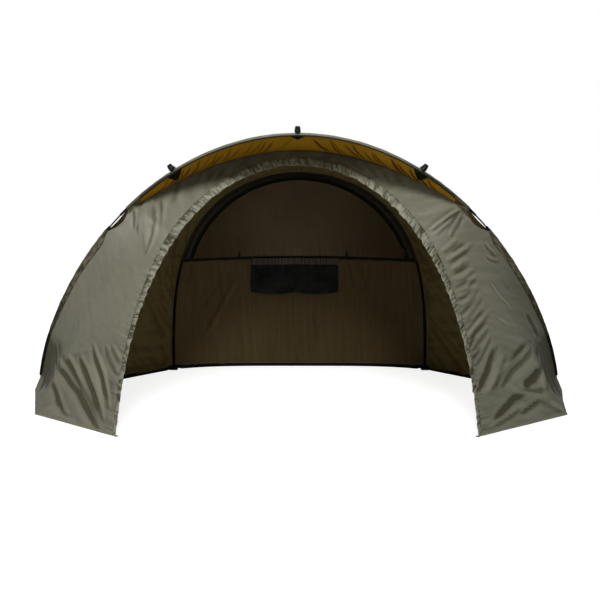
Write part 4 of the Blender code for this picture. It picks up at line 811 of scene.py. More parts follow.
def make_peak():
    tip = 1.0 - TIP
    places, rows = np.linspace(-tip, tip, 620), steps(30)
    grid = liner_grid(places, rows)
    normals = surface_normals(grid)
    off = np.abs(places)[:, None]
    ends = 1.0 - smooth_step(off, 0.33, 0.4)
    pull = crumple((places * 2.18)[:, None], (rows * 0.2)[None, :], 0.045, 0.5, 63)
    pull = pull * 0.0012 * np.sin(pi * rows) ** 0.7 * ends
    chance = np.random.RandomState(65)
    folds = []
    for place in np.concatenate([np.linspace(-0.35, -0.068, 15), np.linspace(0.068, 0.35, 15)]):
        side = -np.sign(place)
        low, high = place + chance.uniform(-0.008, 0.008), chance.uniform(0.02, 0.26)
        lean = side * (0.044 + chance.uniform(-0.010, 0.016)) * (1.0 - high)
        folds.append((0.0042 * chance.uniform(0.4, 1.2), 0.0052, -side * 0.8,
                      [(low, 1.0), (low + lean * 0.55, 0.55), (low + lean, high)]))
    creases = fold_heights(grid, -normals, places, rows, folds)
    grid = grid + normals * (pull - creases - 0.0080 * np.sin(pi * rows) * ends)[..., None]
    # Painted shade along the lining's creases and in a band under the rim
    near_fold = [(abs(rise), width * 0.8, 0.0, line) for rise, width, _, line in folds]
    painted_shading_and_wear = fold_heights(grid, -normals, places, rows, near_fold) / 0.0028 + 0.5 * np.exp(-rows / 0.05)
    made = shell("peak_lining", grid, THIN_CLOTH, [OUTER, MUSTARD], body="front_rib",
                 replaced=("peak_liner",), slot="mustard_lining", tone=painted_shading_and_wear)
    for name, middle, half_width, deep in (("left", -SIDE_POLE_PLACE, 0.042, 0.105),
                                           ("centre", 0.0, 0.036, 0.060),
                                           ("right", SIDE_POLE_PLACE, 0.042, 0.105)):
        depth = length_of(grid[int(np.argmin(np.abs(places - middle)))])
        patch = np.array([[on_grid(grid, places, rows, middle + half_width / 2.13 * step,
                                   deep / depth * (1.0 - abs(step) * 0.93) * row)
                           for row in np.linspace(0.02, 1.0, 13)] for step in np.linspace(-1.0, 1.0, 25)])
        facing = surface_normals(patch)
        patch = patch + facing * -np.sign(facing[12, 6, 2]) * 0.0016
        web = shell(f"peak_patch_{name}_web", patch, PATCH, [BLACK_WEB], body="front_rib",
                    replaced=(f"peak_patch_{name}",), slot="black_webbing")
    under = outwards(front_rib, places, FRONT_ACROSS)
    path = front_rib(places[::2]) - under[::2] * 0.0040 - FRONT_ACROSS * 0.0078
    swell = 0.0034 + 0.0026 * smooth_step(np.abs(places[::2]), 0.24, 0.34)
    tube("rim_piping", path, swell, DARK_EDGING_AND_SEAM_SHADOW, FRONT_ACROSS, sides=10, thickness=0.0, body="front_rib",
         slot="black_webbing")
    # A dark cord along the seam below the peak: painted shade that stands in for the seam's shadow
    path = seam_line(places[::2]) - DOOR_ACROSS * 0.0022
    tube("peak_seam_shadow_cord", path, 0.0021, DARK_EDGING_AND_SEAM_SHADOW, DOOR_ACROSS, sides=8, thickness=0.0, body="front_rib",
         slot="black_webbing")


def panel_edges(places):
    """The panel's outer edge and the seam of its binding."""
    front, door = front_rib(places), door_edge(places)
    draw_in = gap_inset(places, np.where(places > 0.0, 0.037, 0.031))
    edge = front + unit(door - front) * (SLEEVE_TUBE + draw_in)[:, None]
    edge = mixed(edge, seam_line(places), smooth_step(1.0 - np.abs(places), GAP_HIGH, TIP)[:, None])
    ground = at_foot(places)
    edge[:, 2] -= ground * (PIVOT_HEIGHT - GROUND)
    edge += ground[:, None] * np.stack([np.sign(places) * 0.022, np.full_like(places, -0.034),
                                        np.zeros_like(places)], axis=-1)
    return edge, door + unit(edge - door) * BINDING_WIDTH


def panel_grid(places, rows):
    """The panel before its folds: it flares out to the pegged corner of each wing."""
    edge, seam = panel_edges(places)
    grid = between(edge, seam, rows)
    peg_row = 5.0 / 11.0
    straight = grid[0, 0] + (grid[0, -1] - grid[0, 0]) * peg_row
    share = 1.0 - np.abs(places)
    fade = np.clip(1.0 - share / 0.42, 0.0, 1.0) ** 2
    curve = 1.0 + 0.9 * smooth_step(share, 0.004, 0.07)
    out = np.clip(rows / peg_row, 0.0, 1.0)[None, :] ** curve[:, None]
    rise = np.where(rows[None, :] <= peg_row, out, (1.0 - rows[None, :]) / (1.0 - peg_row))
    for side, _ in SIDES:
        corner = np.array([-WING_PEGS[side][0], WING_PEGS[side][1], GROUND])
        flare = (corner - straight) * (-side, 1.0, 1.0)
        grid = grid + flare * (rise * (fade * (np.sign(places) == side))[:, None])[..., None]
    # The lower edge rises near the rib's pivots, so that it clears the ground blocks as the rib folds
    lift, slope, up_to = 0.0501, 0.364, 0.12
    clear = np.clip(lift - slope * np.abs(grid[..., 1]), 0.0, None)
    grid[..., 2] += clear * np.clip(1.0 - grid[..., 2] / up_to, 0.0, 1.0)
    return grid


# Heights in tenths of a millimetre
PANEL_FOLDS = strokes(10000, (
    # Left wing, from the leg sleeve down to the pegged corner
    (100, 200, 10, -876, 31, -886, 53, -920, 71, -961, 83, -1000, 93),
    (30, 120, 10, -929, 51, -971, 62, -984, 70),
    (85, 180, 10, -846, 47, -871, 58, -907, 70, -954, 83, -984, 91),
    (80, 170, 10, -834, 58, -863, 70, -907, 82, -946, 90, -970, 93),
    (75, 160, 10, -789, 65, -823, 75, -859, 85, -903, 92, -937, 96),
    (65, 150, 10, -783, 79, -810, 87, -833, 95, -841, 99), (60, 140, 10, -776, 85, -794, 93, -806, 98),
    (75, 160, 10, -850, 13, -884, 30, -937, 51), (-16, 70, 0, -873, 33, -837, 55, -807, 71),
    (30, 100, 0, -991, 49, -987, 62, -996, 78), (30, 100, 0, -987, 48, -977, 55, -977, 69),
    # Left tip of the peak
    (50, 110, 10, -429, 7, -450, 20, -471, 30), (36, 170, 10, -374, 13, -413, 56, -464, 71, -511, 80),
    (26, 160, 0, -399, 10, -439, 45, -491, 66), (20, 180, 10, -356, 23, -416, 72),
    # Right tip of the peak
    (75, 130, -10, 430, 9, 426, 48, 423, 86), (50, 110, -10, 437, 9, 440, 48, 443, 83),
    (45, 110, -10, 441, 10, 457, 34, 471, 58), (35, 110, 10, 536, 18, 561, 18, 586, 15),
    (35, 110, 10, 567, 29, 584, 25, 601, 15),
    # Right wing, soft folds that leave the binding
    (45, 140, 7, 491, 90, 494, 69, 487, 45), (50, 140, 7, 520, 92, 526, 67, 521, 35),
    (45, 140, 7, 547, 90, 551, 75, 544, 60), (50, 140, 7, 574, 95, 584, 76, 581, 55),
    (45, 140, 7, 611, 97, 613, 78, 599, 57), (45, 140, 7, 647, 100, 647, 84, 633, 64),
    (50, 140, 7, 681, 100, 684, 93, 671, 79, 656, 64), (45, 130, 7, 717, 100, 710, 92, 690, 75),
    (45, 130, 7, 741, 100, 724, 88, 699, 63), (50, 120, 10, 780, 100, 759, 90, 736, 73),
    (50, 120, 10, 817, 100, 800, 91, 774, 81, 759, 75),
    (-60, 180, 0, 893, 100, 860, 94, 823, 84, 790, 71), (60, 150, 0, 887, 90, 851, 82, 816, 70),
    (22, 100, 5, 637, 45, 686, 42, 731, 37), (22, 100, 5, 623, 45, 669, 45, 701, 42),
    (25, 100, 5, 726, 60, 743, 55, 760, 51),
    # Right wing, the hollow, the gather and the flap near the pegged corner
    (100, 220, 10, 893, 82, 859, 68, 840, 51, 827, 37), (-85, 240, 0, 910, 63, 901, 55, 884, 45),
    (40, 100, 0, 873, 52, 900, 52, 929, 50), (80, 120, 0, 849, 18, 880, 33, 906, 47, 946, 52, 961, 53),
    (-75, 140, 0, 910, 71, 924, 62, 936, 53, 966, 17), (65, 130, -10, 951, 56, 961, 65, 971, 75),
    (45, 120, -10, 953, 68, 969, 81, 983, 94), (-70, 200, 0, 879, 13, 923, 20, 951, 31),
    (55, 140, 0, 966, 52, 984, 46, 1000, 45), (30, 120, 10, 849, 55, 830, 47),
), stepped=True)

# Painted shade in the hollows and, less than zero, painted highlights on the crests between the folds, in
# hundredths
PANEL_SHADES = strokes(100, (
    # Left wing, the long folds down to the door corner
    (140, 80, -890, 20, -890, 49, -909, 58, -928, 68, -951, 75, -981, 85, -996, 89),
    (150, 120, -856, 36, -867, 52, -890, 63, -917, 75, -939, 82, -977, 90, -1000, 93),
    (110, 120, -833, 57, -856, 64, -886, 73, -913, 81, -947, 88),
    (110, 100, -807, 67, -830, 74, -860, 83, -898, 89, -917, 95), (100, 50, -784, 79, -807, 89, -833, 97),
    (80, 120, -917, 28, -932, 49, -962, 57, -981, 67), (60, 40, -845, 5, -890, 15, -939, 49),
    (100, 220, -890, 8, -928, 12, -962, 24), (40, 40, -773, 86, -784, 98),
    (-50, 60, -886, 40, -902, 55, -924, 66, -951, 73), (-50, 70, -856, 51, -886, 67, -920, 78, -951, 86),
    (-50, 70, -830, 65, -864, 78, -898, 86, -928, 91), (-50, 60, -807, 75, -841, 86, -871, 94),
    # Left tip of the peak
    (60, 80, -421, 3, -447, 22, -481, 43), (50, 80, -360, 0, -387, 35, -405, 43),
    (30, 80, -353, 8, -387, 55), (30, 120, -302, 11, -353, 52), (40, 60, -462, 45, -504, 72, -519, 83),
    (120, 130, -394, 5, -413, 1, -440, 3, -455, 0),
    # Pleats below the seam
    (30, 90, -236, 0, -280, 47), (30, 90, -207, 12, -251, 63), (30, 90, -178, 28, -222, 69),
    (30, 90, -127, 30, -171, 65), (30, 90, 236, 0, 280, 47), (30, 90, 207, 12, 251, 62),
    (30, 90, 178, 27, 222, 69), (30, 90, 135, 35, 171, 66),
    # Right tip of the peak
    (90, 50, 432, 7, 428, 36, 428, 61), (60, 60, 432, 9, 451, 41, 458, 65),
    (40, 60, 443, 10, 458, 22, 474, 40), (120, 130, 402, 0, 428, 4, 451, 1, 466, 0),
    # Right wing, soft folds from the binding
    (75, 70, 511, 73, 508, 43), (75, 70, 530, 85, 530, 61, 534, 45), (75, 70, 564, 90, 564, 67, 561, 57),
    (75, 70, 602, 96, 602, 75, 614, 60), (75, 70, 636, 100, 633, 77, 633, 62),
    (75, 70, 671, 100, 663, 81, 655, 63), (75, 70, 712, 100, 697, 84, 693, 69),
    (75, 70, 758, 100, 735, 89, 720, 71), (-40, 80, 518, 86, 517, 62, 520, 45),
    (-40, 80, 548, 90, 548, 68, 548, 55), (-40, 80, 584, 95, 584, 76, 590, 60),
    (-40, 80, 619, 100, 618, 78, 622, 60), (-40, 80, 654, 100, 648, 80, 644, 63),
    (-40, 80, 692, 100, 681, 84, 674, 66), (-40, 80, 735, 100, 716, 87, 706, 70),
    (50, 50, 568, 25, 599, 13), (50, 50, 546, 19, 572, 17, 595, 7), (30, 35, 621, 44, 689, 42),
    (30, 35, 659, 53, 716, 46), (30, 35, 629, 29, 693, 25),
    # Right wing, the hollows beside the leg and above the flap
    (80, 240, 913, 65, 905, 55, 902, 49), (110, 180, 909, 58, 894, 51, 894, 21),
    (80, 180, 973, 92, 951, 83, 932, 74, 932, 64), (90, 500, 875, 6, 930, 9, 990, 12),
    (90, 500, 885, 18, 940, 22, 980, 27), (80, 500, -870, 5, -930, 8, -985, 12),
    (80, 50, 849, 16, 886, 18, 924, 20, 936, 51, 958, 53), (100, 60, 958, 57, 970, 55),
    (80, 70, 970, 74, 958, 65, 951, 57), (110, 110, 890, 100, 864, 93, 841, 87, 788, 76),
    (70, 120, 894, 88, 875, 78, 849, 68, 822, 52, 822, 29), (100, 60, 818, 100, 799, 98, 780, 87),
    (100, 50, 780, 100, 758, 97, 750, 89), (50, 40, 849, 54, 833, 51, 830, 33),
    (50, 220, 754, 19, 811, 15, 833, 15), (-70, 40, 902, 77, 913, 68, 932, 54),
    (-70, 50, 867, 51, 909, 49, 939, 51), (-50, 100, 905, 96, 860, 82, 833, 62),
))


def make_panel():
    places, rows = places_round(0.36, 170, 100), steps(100)
    grid = panel_grid(places, rows)
    facing = -surface_normals(grid)
    u, off = (places * 2.0)[:, None], np.abs(places)[:, None]
    width = np.linalg.norm(grid[:, -1] - grid[:, 0], axis=1)[:, None]
    v = rows * width
    wing = smooth_step(off, 0.42, 0.62)
    soft = crumple(u, v, 0.16, 0.30, 71) * 0.0014 * wing
    fine = crumple(u + v * 0.5, v, 0.05, 0.11, 77) * 0.0009
    gathers = creased(u, v, 0.020, 0.5, 79) * 0.0026 * np.exp(-(1.0 - rows) / 0.05)
    pleats = creased(u, v, 0.030, 0.4, 83) * 0.0020 * np.exp(-v / 0.055) * (1.0 - wing)
    height = (soft + fine + pleats) * held_edges(rows, 0.08) + gathers * held_end(rows, 0.01)
    shades = fold_heights(grid, facing, places, rows, PANEL_SHADES)
    dents = [(-strength * min(wide, 0.022) * 0.30, wide, 0.0, line)
             for strength, wide, _, line in PANEL_SHADES]
    drawn = fold_heights(grid, facing, places, rows, PANEL_FOLDS) * 0.8
    drawn = smoothed(drawn + fold_heights(grid, facing, places, rows, dents), 1)
    shades = smoothed(np.clip(shades, -0.8, 1.3), 2)
    # Painted shade along the drawn strokes and in the hollows of the folds, painted highlights on their
    # crests
    painted_shading_and_wear = shades * 0.95 + np.clip(hollows(drawn + (fine + gathers) * 0.6) / 0.0016, -0.35, 0.55)
    # Painted shadow of the peak on the cloth below the seam
    painted_shading_and_wear = painted_shading_and_wear + 0.45 * np.exp(-v / 0.095) * fade(off, 0.10, 0.46)
    share = 1.0 - off
    # Painted shade beside each leg, where the wing turns away from the light
    painted_shade_beside_leg = smooth_step(share, 0.030, 0.050) * fade(share, 0.13, 0.18)
    painted_shading_and_wear = painted_shading_and_wear + 1.05 * painted_shade_beside_leg * fade(rows, 0.18, 0.40)
    # Painted shade over the right wing's outer part, and low on both wings towards the ground
    shaded = smooth_step(places, 0.56, 0.68)[:, None] * fade(rows, 0.05, 0.50)
    painted_shading_and_wear = painted_shading_and_wear + 0.42 * shaded + 0.17 * smooth_step(off - 0.10 * (1.0 - rows), 0.66, 0.86)
    # Painted shade in a thin line along the seam to the binding
    painted_shading_and_wear = painted_shading_and_wear + bell(v, width - 0.002, 0.004) * 0.5
    grid = grid + facing * (height + drawn)[..., None]
    lowest = 0.0012
    keep_above(grid, lowest)
    made = shell("front_panel_cloth", grid, THICK_CLOTH, [OUTER, INNER], flip=True, body="front_rib",
                 replaced=("front_panel",), tone=painted_shading_and_wear)
    slacken(made)
    rise = steps(9)[:, None]
    seam = 0.9 * bell(rise, 0.72, 0.10) + 0.9 * bell(rise, 0.0, 0.16) - 0.25
    for name, low, high in (("left", 0, 2), ("right", -1, -3)):
        edge = mixed(grid[low][None], grid[high][None], rise[..., None]) + facing[low][None] * 0.0015
        keep_above(edge, lowest)
        hem = shell(f"wing_hem_{name}", edge, 0.0009, [OUTER], flip=high < 0, body="front_rib", tone=seam)
        slacken(hem)


def slacken(made):
    """The cloth gets a mesh of its own."""
    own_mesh(made)


def make_binding():
    """The elastic band round the doorway, gathered into small uneven puffs."""
    places, rows = np.linspace(-1.0, 1.0, 2000), steps(16)
    off = np.abs(places)[:, None]
    edge, _ = panel_edges(places)
    door = door_edge(places)
    away = unit(edge - door)[:, None]
    run = run_along(door)[:, None]
    deep = (BINDING_WIDTH + 0.005 + 0.008 * fade(off, 0.40, 0.75)) * rows
    grid = door[:, None] + away * deep[..., None]
    calm = np.minimum(1.0, (1.0 - off) / 0.02)
    slant = run + deep * 0.25 + 0.004 * lattice_noise(run / 0.05, run * 0.0, 95)
    puffs = creased(slant, deep, 0.0125, 0.060, 91)
    folds = crumple(slant, deep, 0.034, 0.060, 97, layers=2)
    stitch = bell(rows, 0.90, 0.05)
    puffed = 0.0050 * puffs * (1.0 - 0.7 * stitch) + 0.0022 * folds - 0.0018 * stitch
    rise = 0.0030 + 0.0045 * np.sin(pi * np.minimum(1.0, rows / 0.95)) ** 0.6
    height = rise + puffed * (held_end(rows, 0.30) * 0.8 + 0.2) * calm
    # Painted shade between the puffs, in the folds and in the stitched groove, painted highlights on the
    # puffs' tops, and painted light that makes the crown paler
    painted_shading_and_wear = smooth_step(-puffs, -0.25, 0.6) * 0.75 - smooth_step(puffs, 0.0, 0.6) * 0.7 + stitch * 0.8
    painted_shading_and_wear = painted_shading_and_wear + np.clip(-folds, -0.5, 0.8) * 0.9
    painted_shading_and_wear = np.clip(painted_shading_and_wear, -0.6, 1.0) - 0.70 * fade(off, 0.12, 0.42)
    wander = 0.0034 * crumple(run, run * 0.0, 0.022, 1.0, 99, layers=2) * calm
    grid = grid - DOOR_ACROSS * height[..., None] - away * (wander * (1.0 - rows))[..., None]
    keep_above(grid, 0.0015)
    made = shell("door_binding_cloth", grid, THICK_CLOTH, [OUTER], body="front_rib",
                 replaced=("door_binding",), tone=painted_shading_and_wear)
    slacken(made)


# Rear wall and what is on it

def tape_middle(x):
    return TAPE_HEIGHT - TAPE_DROP * (np.asarray(x) / REAR_HALF_WIDTH) ** 2


def tape_top(x):
    """The height to which a cloth goes down behind the tape."""
    return tape_middle(x) + TAPE_WIDTH / 2 - 0.001


def inside_half_width(heights):
    places = np.linspace(-1.0, 0.0, 1200)
    inside = rear_rib(places) - outwards(rear_rib, places, REAR_ACROSS) * REAR_SLEEVE_TUBE
    return -np.interp(heights, inside[:, 2], inside[:, 0])


def wall_grid(columns, rows):
    across, share = np.linspace(-1.0, 1.0, columns), steps(rows)
    heights = GROUND + (TAPE_HEIGHT - TAPE_DROP - 0.012 - GROUND) * share
    half = inside_half_width(heights) + 0.0016 + 0.0020 * share
    x = half[None, :] * across[:, None]
    top = tape_middle(x) - TAPE_WIDTH / 2 + 0.001
    height = GROUND + (top - GROUND) * share
    bulge = 0.15 * np.clip(1.0 - share, 0.0, 1.0) ** 1.4 * (1.0 - across[:, None] ** 4)
    return across, share, over_feet(np.stack([x, REAR_SETBACK + bulge, height], axis=-1))


# Pulls in the rear wall's cloth, in hundredths: they dent the cloth and darken it as painted shade
WALL_PULLS = strokes(100, (
    (45, 100, -540, 84, -660, 55, -790, 28), (-35, 120, -500, 84, -620, 55, -740, 28),
    (35, 80, -640, 82, -800, 52), (40, 60, 420, 99, 450, 72), (40, 60, 500, 99, 560, 70),
    (30, 70, -900, 99, -920, 74), (30, 90, 100, 55, 160, 20),
))


def make_rear_wall():
    across, share, grid = wall_grid(300, 90)
    normals = surface_normals(grid)
    x, z = grid[..., 0], grid[..., 2]
    edge = np.minimum(1.0, (1.0 - np.abs(across)) / 0.05)[:, None] * held_end(share, 0.03)
    creases = crumple(x + 0.05 * z, z, 0.055, 0.55, 111) * 0.0034
    fine = crumple(x, z, 0.020, 0.20, 117) * 0.0008
    hang = crumple(x, z, 0.03, 0.5, 119) * 0.0020 * np.exp(-(1.0 - share) / 0.12)
    height = (creases + fine + hang) * edge * np.minimum(1.0, share / 0.05)
    pulls = fold_heights(grid, normals, across, share, WALL_PULLS)
    # Painted shade in the hollows and along the pulls, and across the wall's middle, more low down
    painted_shading_and_wear = np.clip(hollows(height, 6) / 0.0060, -0.1, 0.1) + pulls * 0.8
    painted_shading_and_wear = painted_shading_and_wear + 0.42 * bell(x, 0.05, 0.45) * (1.0 - share * 0.7)
    grid = grid + normals * (height - pulls * 0.003)[..., None]
    made = shell("rear_wall_cloth", grid, THIN_CLOTH, [WALL, OUTER], replaced=("rear_wall",), tone=painted_shading_and_wear)


def zip_arc(out, count):
    """Points of an arc round the window, out from the middle of the zip, from tape to tape."""
    radius = ZIP_RADIUS + out
    angles = np.linspace(0.0, pi / 4, 800)
    height = ZIP_CENTRE + radius * np.sin(angles)
    low = float(np.interp(0.0, height - tape_top(radius * np.cos(angles)), angles))
    turn = np.linspace(pi - low, low, count)
    return np.stack([radius * np.cos(turn), np.full_like(turn, REAR_SETBACK),
                     ZIP_CENTRE + radius * np.sin(turn)], axis=-1)


def inner_rear_arch(inset, count):
    places = np.linspace(-1.0, 1.0, 2400)
    inside = rear_rib(places) - outwards(rear_rib, places, REAR_ACROSS) * inset
    kept = inside[inside[:, 2] > tape_top(inside[:, 0])]
    run = run_along(kept)
    return points_at(run, kept, np.linspace(0.0, run[-1], count))


def make_window():
    count = 320
    rows = steps(16)
    band = between(zip_arc(0.0065, count), inner_rear_arch(REAR_SLEEVE - 0.0030, count), rows)
    u, v = np.linspace(0.0, 2.4, count)[:, None], np.linspace(0.0, 0.07, 16)[None, :]
    band[..., 1] += crumple(u, v, 0.05, 0.2, 121) * 0.0022 * np.sin(pi * rows)
    made = shell("arch_band_cloth", band, THIN_CLOTH, [BAND, OUTER], replaced=("arch_band",))
    inner = zip_arc(0.007, count), zip_arc(0.017, count)
    outer = inner_rear_arch(REAR_SLEEVE + 0.012, count), inner_rear_arch(REAR_SLEEVE, count)
    for name, edges, finish in (("inner", inner, GREEN_TAPE), ("outer", outer, REAR_CLOTH)):
        strip = between(*edges, steps(4))
        strip[..., 1] -= 0.0016
        web = shell(f"band_binding_{name}", strip, THIN_CLOTH, [finish], slot="dark_green_tape")
    strip = between(zip_arc(-ZIP_HALF_WIDTH, count), zip_arc(ZIP_HALF_WIDTH, count), steps(13))
    coil = np.abs(np.linspace(-1.0, 1.0, 13)) < 0.4
    strip[..., 1] -= np.where(coil, 0.0006, 0.0)
    made = shell("zip_tapes", strip, 0.0022, [ZIP], replaced=("zip_track",), slot="zip_black")
    top = zip_arc(-0.0065, count)
    foot = top.copy()
    foot[:, 2] = np.minimum(tape_top(top[:, 0]), top[:, 2])
    rows = steps(90)
    panel = between(foot, top, rows)
    x, z = panel[..., 0], panel[..., 2]
    held = np.sin(pi * rows) ** 0.5 * np.minimum(1.0, (top[:, 2] - foot[:, 2]) / 0.1)[:, None]
    low_puckers = crumple(x + 0.12 * z, z, 0.032, 0.3, 131) * 0.0042 * np.exp(-rows / 0.22)
    soft = crumple(x, z, 0.13, 0.25, 137) * 0.0026
    fine = crumple(x + 0.4 * z, z, 0.03, 0.09, 139) * 0.0007
    panel[..., 1] += (low_puckers + soft + fine) * held + 0.003 * np.sin(pi * rows)
    # Painted shade in the puckers' hollows and towards both sides of the window
    painted_shading_and_wear = hollows(low_puckers + soft) / 0.0090 + 0.62 * smooth_step(np.abs(x), 0.12, 0.60)
    made = shell("window_cloth_panel", panel, THIN_CLOTH, [WINDOW, OUTER], replaced=("window_panel",),
                 tone=painted_shading_and_wear)


def make_rear_webbing():
    path = rear_rib(np.linspace(-0.9885, 0.9885, 530))
    tape_end = TAPE_HEIGHT - TAPE_DROP
    dark = 1.25 * fade(path[:, 2], tape_end - 0.02, tape_end + 0.02)
    made = tube("rear_rib_tube", path, REAR_SLEEVE_TUBE, REAR_CLOTH, REAR_ACROSS, sides=22, ripple=0.0008,
                seed=141, replaced=("rear_rib_sleeve",), slot="black_webbing", tone=dark[:, None])
    reach = float(inside_half_width(tape_end)) + 0.005
    x, rows = np.linspace(-reach, reach, 220)[:, None], np.linspace(-0.5, 0.5, 7)[None, :]
    ripple = crumple(x, rows * 0.02, 0.06, 0.2, 147) * 0.0012
    grid = np.stack([np.broadcast_to(x, ripple.shape), REAR_SETBACK - 0.0004 + ripple,
                     tape_middle(x) + rows * TAPE_WIDTH], axis=-1)
    made = shell("rear_tape_web", grid, WEB, [GREEN_TAPE], replaced=("rear_tape",), slot="dark_green_tape")


def make_pocket():
    back = REAR_SETBACK - 0.0024
    x = (POCKET_CENTRE + np.linspace(-POCKET_HALF_WIDTH, POCKET_HALF_WIDTH, 260))[:, None]
    mouth = POCKET_MOUTH * np.sin(pi * np.abs(x - POCKET_CENTRE) / POCKET_HALF_WIDTH) ** 0.8
    rows = steps(14)[None, :]
    top = tape_middle(x) - TAPE_WIDTH / 4
    pleats = 0.0016 * (1.0 + crumple(x, rows * 0.03, 0.0085, 0.10, 151, layers=2))
    stand = 0.0010 + mouth * (0.6 + 0.4 * rows) + pleats * np.sin(pi * (0.1 + 0.8 * rows)) + 0.0020 * rows
    drop = POCKET_HEADER * rows + crumple(x, rows, 0.03, 2.0, 153) * 0.0012 * rows
    grid = np.stack([np.broadcast_to(x, stand.shape), back - stand, top - drop], axis=-1)
    # Painted shade in the pleats' hollows, painted highlights on their tops
    painted_shading_and_wear = np.clip(hollows(pleats, 4) / 0.0006, -0.8, 0.8)
    made = shell("pocket_header_cloth", grid, THIN_CLOTH, [HEADER], replaced=("pocket_header",), tone=painted_shading_and_wear)
    down, up = steps(34), steps(16)[None, 1:]
    start = top - POCKET_HEADER + 0.002
    foot = TAPE_HEIGHT - POCKET_HEADER - POCKET_DEPTH + 0.012 * (1.0 - mouth / POCKET_MOUTH)
    belly = mouth * (1.0 + 0.35 * np.sin(pi * down)) * (1.0 - down ** 6 / 2)
    wrinkle = crumple(x, down[None, :] * 0.17, 0.022, 0.16, 157) * 0.0022 * np.sin(pi * down)
    front = np.stack([np.broadcast_to(x, belly.shape), back - 0.0026 - belly - wrinkle,
                      start + (foot - start) * down], axis=-1)
    height = foot + (TAPE_HEIGHT - TAPE_DROP - TAPE_WIDTH / 2 - foot) * up
    rear = np.stack([np.broadcast_to(x, height.shape), np.full(height.shape, back), height], axis=-1)
    made = shell("pocket_net_bag", np.concatenate([front, rear], axis=1), PATCH, [NET],
                 replaced=("pocket_bag",), slot="black_net")


# Hems, tabs and the lamp loop

def folded_hem(name, low, up, node, outer_flip):
    """A tape folded over a lower edge, with a thin pale piping along its upper inner edge."""
    along = unit(np.gradient(low, axis=0))
    rise = up - low
    rise = unit(rise - along * np.sum(rise * along, axis=-1, keepdims=True))
    out = unit(np.cross(along, rise))
    if np.dot(out[len(out) // 2], low.mean(axis=0) * (1.0, 1.0, 0.0)) < 0.0:
        out = -out
    half = [(0.0018, 0.0225), (0.0022, 0.015), (0.0022, 0.007), (0.0020, 0.0002), (0.0008, -0.0012)]
    profile = half + [(-away, height) for away, height in reversed(half)]
    grid = np.stack([low + out * away + rise * height for away, height in profile], axis=1)
    keep_above(grid, 0.0010)
    made = shell(name, grid, PATCH, [BLACK_HEM], flip=outer_flip, replaced=(node,), slot="black_webbing")
    path = low + rise * 0.0240 - out * 0.0020
    piping = tube(f"{name}_piping", path, 0.0013, PIPING, sides=8, thickness=0.0)


def make_hems():
    grid = canopy_grid(np.array([-1.0, -0.96, 0.96, 1.0]), steps(160))
    for name, low, up in (("left", grid[0], grid[1]), ("right", grid[3], grid[2])):
        folded_hem(f"hem_{name}_tape", low, up, f"hem_{name}", name == "left")
    _, _, wall = wall_grid(200, 40)
    folded_hem("hem_rear_tape", wall[:, 0], wall[:, 1], "hem_rear", False)


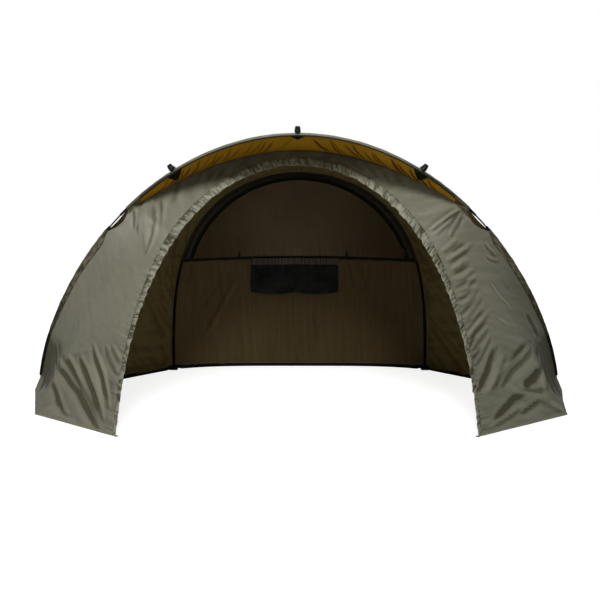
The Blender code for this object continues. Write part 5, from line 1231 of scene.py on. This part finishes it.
def peg_tab(name, start, away):
    """A doubled webbing tab with a round hole for a ground peg, in place of the frame's own tab."""
    hole, half_width, count = (0.0, 0.023, 0.0), 0.013, 32
    bpy.ops.object.select_all(action="DESELECT")
    bpy.ops.mesh.primitive_circle_add(vertices=count, radius=0.0065, location=hole)
    made = bpy.context.object
    made.name = f"{name}_web"
    bpy.ops.object.mode_set(mode="EDIT")
    bpy.ops.mesh.select_all(action="SELECT")
    bpy.ops.mesh.extrude_edges_move()
    bpy.ops.transform.resize(value=(1.35, 1.35, 1.0), center_override=hole)
    bpy.ops.mesh.extrude_edges_move()
    bpy.ops.object.mode_set(mode="OBJECT")
    for vertex in list(made.data.vertices)[-count:]:
        angle = Vector((vertex.co.x, vertex.co.y - hole[1])).normalized()
        end = half_width if angle.y > 0.0 else hole[1]
        reach = min(half_width / max(abs(angle.x), 1e-6), end / max(abs(angle.y), 1e-6))
        if angle.y > 0.0:
            reach = min(reach, 0.0155)
        vertex.co = (angle.x * reach, hole[1] + angle.y * reach, 0.0)
    away = Vector((*away, 0.0)).normalized()
    side = away.cross(Vector((0.0, 0.0, 1.0)))
    turn = Matrix((side, away, (0.0, 0.0, 1.0))).transposed().to_4x4()
    turn.translation = Vector((start[0], start[1], 0.0045))
    made.data.transform(turn)
    bpy.ops.object.mode_set(mode="EDIT")
    bpy.ops.mesh.select_all(action="SELECT")
    bpy.ops.mesh.normals_make_consistent(inside=False)
    bpy.ops.object.mode_set(mode="OBJECT")
    wall = made.modifiers.new("webbing", "SOLIDIFY")
    wall.thickness, wall.offset = 0.0020, 0.0
    soften = made.modifiers.new("edges", "BEVEL")
    soften.width, soften.segments = 0.0004, 2
    finish_with_modifiers(made)
    made.data.materials.append(BLACK_WEB)
    flat_uv(made)
    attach(made, "front_rib")
    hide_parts(name)
    slacken(made)


def flat_uv(made):
    """Coordinates in metres seen from above, for a webbing that lies flat."""
    layer = made.data.uv_layers.active or made.data.uv_layers.new(name="cloth")
    for loop in made.data.loops:
        spot = made.data.vertices[loop.vertex_index].co
        layer.data[loop.index].uv = (spot.x, spot.y)


def make_tabs():
    for side, name in SIDES:
        away = Vector((side, -DOOR_SLOPE, 0.0)).normalized()
        start = Vector((side * WING_PEGS[side][0], WING_PEGS[side][1], 0.0)) + away * 0.0011
        peg_tab(f"wing_tab_{name}", start, away.xy)
        away = Vector((side * 0.3, -1.0, 0.0)).normalized()
        start = Vector((side * DOOR_HALF_WIDTH, -DOOR_REACH, 0.0)) + away * 0.0018
        peg_tab(f"door_tab_{name}", start, away.xy)


def make_lamp_loop():
    low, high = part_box("lamp_loop")
    turn = np.linspace(0.0, pi, 48)
    half, drop = 0.0120, 0.0350
    wide = half * np.sign(np.cos(turn)) * np.abs(np.cos(turn)) ** 0.6
    path = np.stack([wide, np.full(48, (low.y + high.y) / 2), high.z - 0.0012 - drop * np.sin(turn) ** 0.8],
                    axis=-1)
    grid = path[:, None] + REAR_ACROSS * np.linspace(-0.0080, 0.0080, 7)[None, :, None]
    made = shell("lamp_loop_web", grid, WEB, [BLACK_WEB], replaced=("lamp_loop",), slot="black_webbing")


def finish_fittings():
    """Finishes for the frame's own rods and mouldings, which keep their shape."""
    rods = ("front_rib_left_leg", "front_rib_right_leg", "front_rib_arch", "rear_rib", "roof_pole")
    for name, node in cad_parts.items():
        if node.hide_render:
            continue
        if name in ("zip_slider", "zip_puller"):
            finish = WORN_METAL
        else:
            finish = ROD if name.startswith(rods) else PLASTIC
        for slot in node.material_slots:
            slot.material = finish


set_camera()
set_light()
set_floor()
make_canopy()
make_roof_sleeves()
make_front_sleeves()
make_leg_flaps()
make_peak()
make_panel()
make_binding()
make_rear_wall()
make_window()
make_rear_webbing()
make_pocket()
make_hems()
make_tabs()
make_lamp_loop()
finish_fittings()
